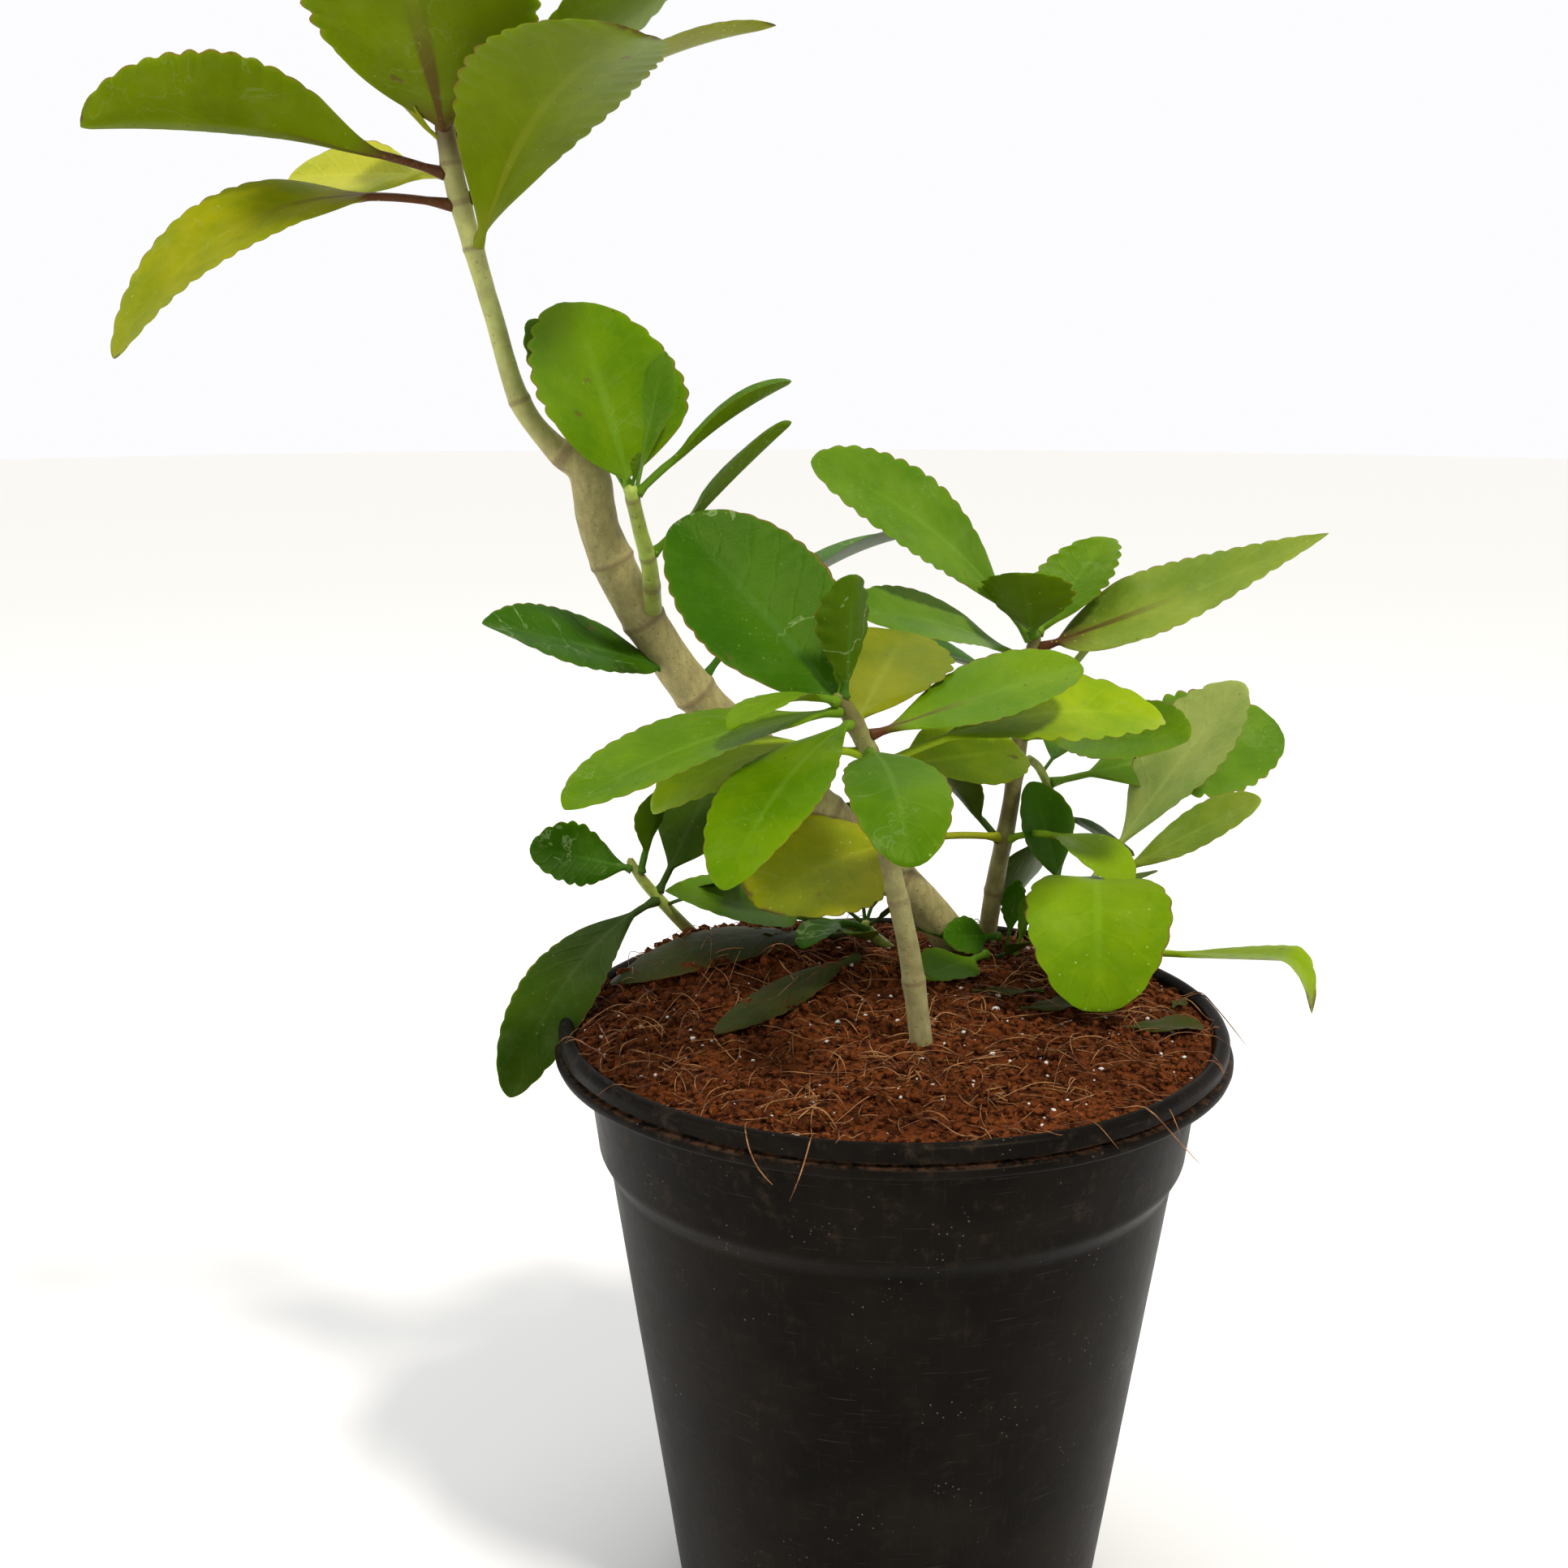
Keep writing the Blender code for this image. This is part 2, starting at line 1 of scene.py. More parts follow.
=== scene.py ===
# %% [markdown]
# # A kalanchoe in a black nursery pot
#
# The plant is a succulent: thick waxy leaves with scalloped margins, on stems that go woody with age.
# It grows in coco peat in a thin moulded pot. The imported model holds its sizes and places, and this
# script makes the surfaces: each CAD piece is replaced by a finer mesh of the same piece.
# The frame comes first, because every piece below rides on its one body, "root".

# %% The frame
import math
import random

import bmesh
import bpy
import numpy as np
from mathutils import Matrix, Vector, noise


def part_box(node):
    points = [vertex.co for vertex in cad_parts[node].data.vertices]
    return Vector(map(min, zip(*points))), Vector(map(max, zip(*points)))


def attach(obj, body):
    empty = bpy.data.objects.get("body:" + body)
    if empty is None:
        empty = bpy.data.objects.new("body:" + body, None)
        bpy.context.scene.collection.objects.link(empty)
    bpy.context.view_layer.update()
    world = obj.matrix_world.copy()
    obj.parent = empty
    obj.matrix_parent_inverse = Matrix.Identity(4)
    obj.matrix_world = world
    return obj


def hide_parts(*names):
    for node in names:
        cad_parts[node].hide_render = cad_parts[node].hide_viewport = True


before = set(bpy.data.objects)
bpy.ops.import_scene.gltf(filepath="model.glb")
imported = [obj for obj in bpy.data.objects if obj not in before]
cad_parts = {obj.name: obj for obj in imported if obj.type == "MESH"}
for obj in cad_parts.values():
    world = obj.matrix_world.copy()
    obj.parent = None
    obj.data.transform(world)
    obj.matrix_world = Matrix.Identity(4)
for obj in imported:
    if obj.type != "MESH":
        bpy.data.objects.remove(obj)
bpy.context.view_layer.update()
MM = 0.001

# %% [markdown]
# ## The camera
#
# The plant is seen from a little above the rim of its pot, from the front. A 45 mm lens at about half a
# metre gives the slight perspective that makes the rim an open ellipse and the top leaves be seen from
# below. The camera looks down by 13 degrees and isn't turned, so upright things stay nearly upright.

# %% The camera
CAMERA_PLACE = (-0.032, -0.5535, 0.383)
CAMERA_DOWN = 13.03
LENS_MM = 45.0
lens = bpy.data.cameras.new("camera")
lens.lens = LENS_MM
lens.sensor_width = 36.0
lens.clip_start = 0.01
camera = bpy.data.objects.new("camera", lens)
camera.location = CAMERA_PLACE
camera.rotation_euler = (math.radians(90.0 - CAMERA_DOWN), 0.0, 0.0)
bpy.context.collection.objects.link(camera)
bpy.context.scene.camera = camera
print("camera at", CAMERA_PLACE, "looking down", CAMERA_DOWN, "degrees")

# %% [markdown]
# ## Floor and light
#
# A pale floor and a pale world stand in for a bright day with nothing else in sight. The key light is
# a wide soft sun, high and a little in front, so that the floor is lit evenly to its far edge. A panel
# on the left keeps the dark pot from losing its side, and one above and behind rims the leaves. The
# world is white near the horizon, where it is the backdrop, and dimmer above, so that the shade under
# the leaves stays dark.


# %% Floor and light
def panel(name, place, target, size, watts, colour):
    """A square soft light at a place, turned towards a target."""
    light = bpy.data.lights.new(name, "AREA")
    light.shape = "SQUARE"
    light.size = size
    light.energy = watts
    light.color = colour
    obj = bpy.data.objects.new(name, light)
    obj.location = place
    obj.rotation_euler = (Vector(target) - Vector(place)).to_track_quat("-Z", "Y").to_euler()
    bpy.context.collection.objects.link(obj)


PLANT_MIDDLE = (-0.02, 0.0, 0.26)
panel("left_panel", (-1.2, -0.35, 0.75), PLANT_MIDDLE, 0.8, 5.0, (0.96, 0.98, 1.0))
panel("top_panel", (-0.1, 0.45, 1.5), PLANT_MIDDLE, 0.9, 9.0, (1.0, 0.98, 0.94))
sun = bpy.data.lights.new("soft_sun", "SUN")
sun.energy = 2.5
sun.angle = math.radians(9.0)
sun.color = (1.0, 0.96, 0.89)
sun_object = bpy.data.objects.new("soft_sun", sun)
sun_object.rotation_euler = Vector((-0.42, 0.50, -1.0)).to_track_quat("-Z", "Y").to_euler()
bpy.context.collection.objects.link(sun_object)

world = bpy.data.worlds.new("pale_day")
world.use_nodes = True
sky = world.node_tree.nodes
upward = sky.new("ShaderNodeSeparateXYZ")
band = sky.new("ShaderNodeMapRange")
band.interpolation_type = "SMOOTHSTEP"
for socket, value in zip(band.inputs[1:5], (0.20, 0.50, 1.0, 0.42)):
    socket.default_value = value
sky_links = world.node_tree.links
sky_links.new(sky.new("ShaderNodeTexCoord").outputs["Generated"], upward.inputs[0])
sky_links.new(upward.outputs["Z"], band.inputs[0])
sky_links.new(band.outputs[0], sky["Background"].inputs["Strength"])
sky["Background"].inputs["Color"].default_value = (0.98, 0.98, 1.0, 1.0)
bpy.context.scene.world = world
bpy.context.scene.view_settings.view_transform = "Standard"

FLOOR_RADIUS = 6.0
floor_mesh = bpy.data.meshes.new("floor")
floor_shape = bmesh.new()
bmesh.ops.create_circle(floor_shape, cap_ends=True, segments=96, radius=FLOOR_RADIUS)
floor_shape.to_mesh(floor_mesh)
floor_shape.free()
floor = bpy.data.objects.new("floor", floor_mesh)
bpy.context.collection.objects.link(floor)
floor_finish = bpy.data.materials.new("floor_finish")
floor_finish.use_nodes = True
floor_finish.node_tree.nodes["Principled BSDF"].inputs["Base Color"].default_value = (0.86, 0.86, 0.85, 1.0)
floor_finish.node_tree.nodes["Principled BSDF"].inputs["Roughness"].default_value = 0.8
floor.data.materials.append(floor_finish)
print("a soft sun, two panels and a floor of", FLOOR_RADIUS, "m")

# %% [markdown]
# ## One short way to make a piece and one to make a finish
#
# Every piece here is a skin of points and faces, with a few numbers kept at each point for its finish
# to read: how far along a leaf the point is, for instance. Blender calls these attributes, and a
# material's Attribute node reads them. They stay with the mesh when it is moved or exported, which a
# position in the world would not.
#
# A finish is a sheet of nodes. The class below adds one node per call and hands back its output, so
# that a finish reads as a list of steps.


# %% Pieces
def piece(name, points, faces, finish, slot, nodes=(), **attributes):
    """A smooth mesh from points in millimetres, with its finish and the CAD nodes it replaces. slot is not used."""
    mesh = bpy.data.meshes.new(name)
    mesh.from_pydata((np.asarray(points, float) * MM).tolist(), [], faces)
    for key, values in attributes.items():
        values = np.asarray(values, np.float32)
        kind, field = ("FLOAT", "value") if values.ndim == 1 else ("FLOAT_VECTOR", "vector")
        mesh.attributes.new(key, kind, "POINT").data.foreach_set(field, values.ravel())
    mesh.shade_smooth()
    mesh.update()
    obj = bpy.data.objects.new(name, mesh)
    bpy.context.collection.objects.link(obj)
    mesh.materials.append(finish)
    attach(obj, "root")
    if nodes:
        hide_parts(*nodes)
    return obj


def loft_faces(rings, sides, offset=0, closed_ends=True):
    """Quads between rings of equal size, with a point after the last ring for each end if it is closed."""
    faces = []
    for ring in range(rings - 1):
        low = offset + ring * sides
        for side in range(sides):
            following = (side + 1) % sides
            faces.append((low + side, low + following, low + sides + following, low + sides + side))
    if closed_ends:
        last = offset + (rings - 1) * sides
        poles = offset + rings * sides
        for side in range(sides):
            following = (side + 1) % sides
            faces.append((poles, offset + following, offset + side))
            faces.append((last + side, last + following, poles + 1))
    return faces


print("skins carry their own numbers for the finishes")


# %% Finishes
class Finish:
    """A material with a short call for each node. Each call gives the node's output socket."""

    def __init__(self, name, **constants):
        self.material = bpy.data.materials.new(name)
        self.material.use_nodes = True
        self.tree = self.material.node_tree
        self.shader = self.tree.nodes["Principled BSDF"]
        for key, value in constants.items():
            self.feed(self.shader.inputs[key.replace("_", " ").title().replace("Ior", "IOR")], value)

    def feed(self, socket, value):
        if isinstance(value, bpy.types.NodeSocket):
            self.tree.links.new(value, socket)
        elif isinstance(value, tuple) and len(value) == 3 and socket.type == "RGBA":
            socket.default_value = (*value, 1.0)
        else:
            socket.default_value = value

    def node(self, kind, inputs=(), output=0, **settings):
        made = self.tree.nodes.new("ShaderNode" + kind)
        for key, value in settings.items():
            setattr(made, key, value)
        for key, value in dict(inputs).items():
            self.feed(made.inputs[key], value)
        return made.outputs[output]

    def place(self):
        return self.node("TexCoord", output="Object")

    def kept(self, name, output="Fac"):
        """A number or a vector that the mesh keeps at its points."""
        return self.node("Attribute", attribute_name=name, output=output)

    def parts(self, vector):
        split = self.node("SeparateXYZ", {0: vector}).node
        return split.outputs[0], split.outputs[1], split.outputs[2]

    def noise(self, scale, detail=4.0, roughness=0.55, at=None, output="Fac", distortion=0.0):
        inputs = {"Scale": scale, "Detail": detail, "Roughness": roughness, "Distortion": distortion}
        inputs["Vector"] = self.place() if at is None else at
        return self.node("TexNoise", inputs, output)

    def cells(self, scale, output="Distance", at=None, feature="F1"):
        inputs = {"Scale": scale, "Vector": self.place() if at is None else at}
        return self.node("TexVoronoi", inputs, output, feature=feature)

    def stretch(self, vector, x=1.0, y=1.0, z=1.0):
        return self.node("Mapping", {"Vector": vector, "Scale": (x, y, z)})

    def ramp(self, value, low, high):
        """0 below low, 1 above high, smooth between: or the other way round if low is the larger."""
        first, last = (0.0, 1.0) if low < high else (1.0, 0.0)
        inputs = {0: value, 1: min(low, high), 2: max(low, high), 3: first, 4: last}
        return self.node("MapRange", inputs, interpolation_type="SMOOTHSTEP")

    def math(self, operation, a, b=0.0):
        return self.node("Math", {0: a, 1: b}, operation=operation)

    def mix(self, share, a, b, blend="MIX"):
        made = self.node("Mix", (), 2, data_type="RGBA", blend_type=blend).node
        for socket, value in ((made.inputs[0], share), (made.inputs[6], a), (made.inputs[7], b)):
            self.feed(socket, value)
        return made.outputs[2]

    def wear(self, colour, roughness, height, depth_mm=0.2):
        """Links colour, roughness and a height in shares of a depth, and gives the material."""
        self.feed(self.shader.inputs["Base Color"], colour)
        self.feed(self.shader.inputs["Roughness"], roughness)
        bump = self.node("Bump", {"Height": height, "Distance": depth_mm * MM, "Strength": 1.0})
        self.feed(self.shader.inputs["Normal"], bump)
        return self.material


print("finishes are built node by node")

# %% [markdown]
# ## The pot
#
# The pot is a thin injection-moulded shell: a straight tapered wall, a crease where a stepped shoulder
# starts, a taller band, a flange and above it a rolled collar with a dark groove between them. One
# half section turned round the axis gives all of it. The turned skin has far more segments than the
# CAD solid, so that the rim shows no corners, and the flange gets the slight waviness of a cheap
# moulding. The drain holes are cut through the floor with rods, as on the real one.

# %% The pot's shape
pot_low, pot_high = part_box("pot")
POT_TOP = pot_high[2] / MM
LIP_RADIUS = pot_high[0] / MM
BASE_RADIUS = 64.2
WALL_TAPER = 0.1416
WALL = 1.7
CREASE_Z = 140.5
BAND_Z = 148.5
BAND_RADIUS = 87.6
LIP_Z = POT_TOP - 9.0
COLLAR_INNER = LIP_RADIUS - 5.8
COLLAR_OUTER = LIP_RADIUS - 1.2
POT_SEGMENTS = 240


def wall_radius(z):
    """Outer radius of the pot's wall."""
    if z <= CREASE_Z:
        return BASE_RADIUS + WALL_TAPER * z
    if z <= BAND_Z:
        share = (z - CREASE_Z) / (BAND_Z - CREASE_Z)
        rounded = share * share * (3 - 2 * share)
        return wall_radius(CREASE_Z) + rounded * (BAND_RADIUS - wall_radius(CREASE_Z))
    return BAND_RADIUS + 0.125 * (z - BAND_Z)


def pot_section():
    """The half section as (radius, z), from the middle of the underside round to the middle of the floor."""
    inner_foot = BASE_RADIUS - 6.0
    section = [(18.0, 0.0), (18.6, 0.2), (19.8, 2.8), (20.6, 3.0), (inner_foot - 2.6, 3.0)]
    section += [(inner_foot - 1.8, 2.8), (inner_foot - 0.3, 0.3), (inner_foot + 0.3, 0.0)]
    section += [(BASE_RADIUS - 1.2, 0.0), (BASE_RADIUS - 0.4, 0.3), (BASE_RADIUS, 1.2)]
    section += [(wall_radius(z), z) for z in np.arange(6.0, CREASE_Z - 1.0, 6.0)]
    section += [(wall_radius(z), z) for z in np.linspace(CREASE_Z - 0.6, BAND_Z + 0.6, 10)]
    section += [(wall_radius(z), z) for z in np.linspace(BAND_Z + 3.0, LIP_Z - 0.5, 8)]
    section += [(LIP_RADIUS - 4.5, LIP_Z - 0.1), (LIP_RADIUS - 1.0, LIP_Z), (LIP_RADIUS - 0.3, LIP_Z + 0.3)]
    section += [(LIP_RADIUS, LIP_Z + 1.0), (LIP_RADIUS, LIP_Z + 2.0), (LIP_RADIUS - 0.3, LIP_Z + 2.7)]
    section += [(LIP_RADIUS - 1.0, LIP_Z + 3.0), (LIP_RADIUS - 2.3, LIP_Z + 3.1), (LIP_RADIUS - 2.7, LIP_Z + 3.3)]
    section += [(LIP_RADIUS - 2.6, LIP_Z + 3.8), (COLLAR_OUTER - 0.2, LIP_Z + 4.3)]
    middle = (COLLAR_OUTER + COLLAR_INNER) / 2
    half = (COLLAR_OUTER - COLLAR_INNER) / 2
    for turn in np.radians(np.arange(0, 181, 15)):
        section.append((middle + half * math.cos(turn), POT_TOP - half + half * math.sin(turn)))
    section += [(wall_radius(z) - WALL, z) for z in (LIP_Z - 2.0, 160.0, BAND_Z, CREASE_Z, 95.0, 45.0, WALL + 1.0)]
    section += [(wall_radius(WALL) - WALL - 1.0, WALL), (inner_foot + 0.5, WALL), (inner_foot - 1.5, 3.0 + WALL)]
    section += [(19.0, 3.0 + WALL), (17.0, WALL)]
    return section


def turned_skin(section, segments, waver):
    """Points and faces of a section turned round the axis. waver moves a point's radius and height."""
    points = []
    for radius, z in section:
        for segment in range(segments):
            turn = 2 * math.pi * segment / segments
            out, up = waver(turn, radius, z)
            points.append(((radius + out) * math.cos(turn), (radius + out) * math.sin(turn), z + up))
    points += [(0.0, 0.0, section[0][1]), (0.0, 0.0, section[-1][1])]
    return points, loft_faces(len(section), segments)


def moulding_waver(turn, radius, z):
    """A few tenths of a millimetre of unevenness, most of it on the flange and the collar."""
    if z < 20.0:
        return 0.0, 0.0
    share = 0.30 if z > LIP_Z - 0.5 else 0.12
    at = Vector((2.2 * math.cos(turn), 2.2 * math.sin(turn), z * 0.02))
    fine = Vector((9.0 * math.cos(turn), 9.0 * math.sin(turn), z * 0.3))
    out = share * (noise.noise(at) - 0.25) + 0.4 * share * noise.noise(fine)
    return min(out, 0.05), 0.8 * share * noise.noise(at + Vector((5.0, 0.0, 0.0)))


# %% [markdown]
# ### Black plastic that has stood outdoors
#
# Black polypropylene is never plain black. Its sides carry a brown film of dust, thickest under the
# rim and in the groove, fine scratches from being stacked, and dried splashes. The moulding itself is
# slightly grained, so its highlight breaks up. Each of these is one layer of noise at its own scale.


# %% The pot's finish
def dusty_black_plastic():
    f = Finish("dusty_black_plastic", specular_ior_level=0.04, sheen_weight=0.006, sheen_roughness=0.35)
    f.feed(f.shader.inputs["Specular Tint"], (0.82, 0.64, 0.46))
    f.feed(f.shader.inputs["Sheen Tint"], (0.75, 0.55, 0.38))
    x, y, z = f.parts(f.place())
    cloud = f.noise(26.0, 5.0, 0.62)
    film = f.noise(140.0, 6.0, 0.7)
    streaks = f.noise(1.0, 5.0, 0.6, at=f.stretch(f.place(), 700.0, 700.0, 22.0))
    scratches = f.ramp(f.noise(1.0, 3.0, 0.5, at=f.stretch(f.place(), 60.0, 60.0, 2400.0)), 0.66, 0.74)
    colour = f.mix(f.ramp(cloud, 0.35, 0.75), (0.0045, 0.0040, 0.0036), (0.0105, 0.0085, 0.0066))
    under_rim = f.ramp(z, 0.135, 0.172)
    dust = f.math("MULTIPLY", f.ramp(film, 0.52, 0.80), f.math("ADD", f.math("MULTIPLY", under_rim, 0.14), 0.07))
    colour = f.mix(dust, colour, (0.16, 0.105, 0.062))
    colour = f.mix(f.math("MULTIPLY", f.ramp(streaks, 0.55, 0.85), 0.10), colour, (0.085, 0.062, 0.042))
    colour = f.mix(f.math("MULTIPLY", scratches, 0.07), colour, (0.25, 0.22, 0.19))
    groove_low, groove_high = (LIP_Z + 2.5) * MM, (LIP_Z + 4.6) * MM
    groove = f.math("MULTIPLY", f.ramp(z, groove_low, groove_low + 0.0006), f.ramp(z, groove_high, groove_high - 0.0006))
    dirt = f.math("MULTIPLY", groove, f.ramp(f.noise(320.0, 5.0, 0.7), 0.42, 0.62))
    colour = f.mix(f.math("MULTIPLY", dirt, 0.75), colour, (0.075, 0.036, 0.018))
    specks = f.math("MULTIPLY", f.ramp(f.cells(520.0), 0.16, 0.08), f.ramp(f.noise(60.0, 2.0), 0.56, 0.66))
    colour = f.mix(f.math("MULTIPLY", specks, 0.5), colour, (0.24, 0.20, 0.16))
    rough = f.math("ADD", f.math("MULTIPLY", cloud, 0.24), f.math("MULTIPLY", film, 0.16))
    rough = f.math("ADD", rough, f.math("ADD", f.math("MULTIPLY", dust, 0.5), 0.20))
    grain = f.math("ADD", f.math("MULTIPLY", f.noise(900.0, 2.0), 0.5), f.math("MULTIPLY", f.noise(70.0, 3.0), 0.8))
    grain = f.math("ADD", grain, f.math("MULTIPLY", streaks, 0.2))
    return f.wear(colour, rough, grain, 0.10)


points, faces = turned_skin(pot_section(), POT_SEGMENTS, moulding_waver)
pot = piece("nursery_pot", points, faces, dusty_black_plastic(), "black_plastic", ["pot"])
pot.data.set_sharp_from_angle(angle=math.radians(60))

rods = bmesh.new()
for hole in range(8):
    made = bmesh.ops.create_cone(rods, cap_ends=True, segments=32, radius1=4 * MM, radius2=4 * MM, depth=16 * MM)
    turn = 2 * math.pi * (hole + 0.5) / 8
    shift = Vector((38.1 * math.cos(turn), 38.1 * math.sin(turn), 4.0)) * MM
    bmesh.ops.translate(rods, verts=made["verts"], vec=shift)
rod_mesh = bpy.data.meshes.new("drain_rods")
rods.to_mesh(rod_mesh)
rods.free()
rod_object = bpy.data.objects.new("drain_rods", rod_mesh)
bpy.context.collection.objects.link(rod_object)
drill = pot.modifiers.new("drain_holes", "BOOLEAN")
drill.object = rod_object
drill.solver = "EXACT"
bpy.context.view_layer.update()
drilled = bpy.data.meshes.new_from_object(pot.evaluated_get(bpy.context.evaluated_depsgraph_get()))
pot.modifiers.clear()
pot.data = drilled
bpy.data.objects.remove(rod_object)
print("pot skin:", len(pot.data.polygons), "faces")

# %% [markdown]
# ## The coco peat
#
# Coco peat is a heap of crumbs, not a smooth hill. A fine skin with noise at three scales gives the
# lie of the ground and its small clods. Loose crumbs are then scattered on it as their own small
# faceted grains, with white perlite among them and coir fibres lying every way. The fibres are what
# says "coco" at a glance: springy orange hairs that stand clear of the surface and lie over the rim.

# %% The lie of the peat
SOIL_EDGE_Z = 183.2
SOIL_RADIUS = COLLAR_INNER - 0.15


def peat_height(x, y):
    """The smooth lie of the peat in millimetres, which the CAD solid has too."""
    radius = math.hypot(x, y)
    inner = COLLAR_INNER - 0.8
    edge = min(1.0, max(0.0, (inner - radius) / 9.0))
    away = (x + 50.0) ** 2 + (y - 46.0) ** 2
    return SOIL_EDGE_Z + 3.0 * (1.0 - (radius / inner) ** 2) + edge * 9.5 * math.exp(-away / 1800.0)


def crumbly_height(x, y):
    """The lie of the peat with its clods and crumbs, a little lower round the edge."""
    radius = math.hypot(x, y)
    clods = 1.5 * noise.noise(Vector((x / 15.0, y / 15.0, 3.1)))
    crumbs = 1.1 * noise.noise(Vector((x / 4.2, y / 4.2, 7.7))) + 0.8 * abs(noise.noise(Vector((x / 1.9, y / 1.9, 1.3))))
    edge = max(0.0, (radius - SOIL_RADIUS + 7.0) / 7.0)
    return peat_height(x, y) + (clods + crumbs) * (1.0 - 0.6 * edge) - 1.6 * edge**2


def peat_skin():
    """A closed skin: the crumbly top in rings, down the wall and across a flat underside."""
    rings, sides = 104, 300
    points = []
    for ring in range(rings):
        radius = SOIL_RADIUS * (1.0 - (ring / rings))
        for side in range(sides):
            turn = 2 * math.pi * (side + 0.5 * (ring % 2)) / sides
            x, y = radius * math.cos(turn), radius * math.sin(turn)
            points.append((x, y, crumbly_height(x, y)))
    deep = []
    for z in (WALL + 4.0, 60.0, CREASE_Z, 174.0):
        for side in range(sides):
            turn = 2 * math.pi * side / sides
            radius = wall_radius(z) - WALL - 0.4
            deep.append((radius * math.cos(turn), radius * math.sin(turn), z))
    points = deep + points + [(0.0, 0.0, WALL + 4.0), (0.0, 0.0, crumbly_height(0.0, 0.0))]
    return points, loft_faces(rings + 4, sides)


def peat_finish(name, light):
    """Reddish brown with darker wet crumbs and paler dry ones. light is 1 for the ground itself."""
    f = Finish(name, specular_ior_level=0.06)
    crumbs = f.cells(620.0, "Color")
    tone = f.parts(crumbs)[0]
    patch = f.noise(45.0, 5.0, 0.65)
    fine = f.noise(700.0, 6.0, 0.72)
    dark, mid, dry = (0.030, 0.0070, 0.0020), (0.145, 0.036, 0.0080), (0.360, 0.130, 0.034)
    colour = f.mix(f.ramp(tone, 0.05, 0.75), dark, mid)
    colour = f.mix(f.math("MULTIPLY", f.ramp(fine, 0.50, 0.78), 0.75 * light), colour, dry)
    colour = f.mix(f.math("MULTIPLY", f.ramp(patch, 0.46, 0.66), 0.45), colour, dark)
    height = f.math("ADD", f.math("MULTIPLY", fine, 0.8), f.cells(420.0))
    return f.wear(colour, f.math("ADD", f.math("MULTIPLY", fine, 0.2), 0.75), height, 0.9)


points, faces = peat_skin()
piece("coco_peat", points, faces, peat_finish("coco_peat_finish", 1.0), "coco_peat", ["soil"])
print("peat skin:", len(faces), "faces")

# %% [markdown]
# ### Crumbs, perlite and coir
#
# A crumb is a twenty-sided ball pushed out of shape, with flat faces, because broken pith has facets.
# All crumbs of a kind are joined in one mesh: thousands of separate objects would be slow, and nobody
# moves one crumb. The sizes follow a square law, with many small and few large, as sieved peat has.

# %% Loose grains
BALL = bmesh.new()
bmesh.ops.create_icosphere(BALL, subdivisions=1, radius=1.0)
BALL_POINTS = np.array([v.co[:] for v in BALL.verts])
BALL_FACES = np.array([[v.index for v in face.verts] for face in BALL.faces])
BALL.free()


def scatter(name, count, seed, sizes, sink, finish, spread=0.985):
    """Faceted grains lying on the peat, sizes being the smallest and largest radius."""
    pick = random.Random(seed)
    shapes = np.random.default_rng(seed)
    points, faces = [], []
    for grain in range(count):
        radius = SOIL_RADIUS * spread * math.sqrt(pick.random())
        turn = 2 * math.pi * pick.random()
        x, y = radius * math.cos(turn), radius * math.sin(turn)
        size = sizes[0] + (sizes[1] - sizes[0]) * pick.random() ** 3
        squeeze = np.array([pick.uniform(0.6, 1.3), pick.uniform(0.6, 1.3), pick.uniform(0.45, 0.9)])
        lumps = BALL_POINTS * (1.0 + shapes.uniform(-0.3, 0.3, (len(BALL_POINTS), 1))) * squeeze * size
        spin = pick.uniform(0.0, math.pi)
        turned = np.array([[math.cos(spin), -math.sin(spin), 0], [math.sin(spin), math.cos(spin), 0], [0, 0, 1]])
        height = crumbly_height(x, y) + size * squeeze[2] * (1.0 - sink)
        faces.extend((BALL_FACES + len(points) * len(BALL_POINTS)).tolist())
        points.append(lumps @ turned.T + (x, y, height))
    obj = piece(name, np.concatenate(points), faces, finish, "coco_peat")
    obj.data.shade_flat()
    return obj


def perlite_finish():
    f = Finish("perlite", specular_ior_level=0.3)
    pores = f.noise(1500.0, 4.0, 0.7)
    colour = f.mix(f.ramp(pores, 0.35, 0.7), (0.62, 0.58, 0.50), (0.90, 0.89, 0.86))
    colour = f.mix(f.math("MULTIPLY", f.ramp(f.noise(400.0), 0.5, 0.7), 0.4), colour, (0.35, 0.20, 0.12))
    return f.wear(colour, f.math("ADD", f.math("MULTIPLY", pores, 0.2), 0.7), pores, 0.3)


crumb_finish = peat_finish("peat_crumb_finish", 1.3)
scatter("peat_crumbs", 5200, 11, (0.35, 2.1), 0.45, crumb_finish)
scatter("peat_dust", 4200, 12, (0.25, 0.7), 0.3, crumb_finish)
scatter("perlite_grains", 330, 13, (0.28, 0.95), 0.35, perlite_finish())
print("loose grains:", 5200 + 4200 + 330)


# %% Coir fibres
def hair(points, radius, sides=4):
    """Points of a thin tube along a line, with a closed end at each side."""
    skin = []
    across = Vector((0.31, 0.52, 0.79))
    for index, centre in enumerate(points):
        ahead = (points[min(index + 1, len(points) - 1)] - points[max(index - 1, 0)]).normalized()
        across = (across - ahead * across.dot(ahead)).normalized()
        other = ahead.cross(across)
        taper = 1.0 - 0.6 * abs(2 * index / (len(points) - 1) - 1) ** 3
        for side in range(sides):
            turn = 2 * math.pi * side / sides
            skin.append(centre + (math.cos(turn) * across + math.sin(turn) * other) * radius * taper)
    return skin + [points[0], points[-1]]


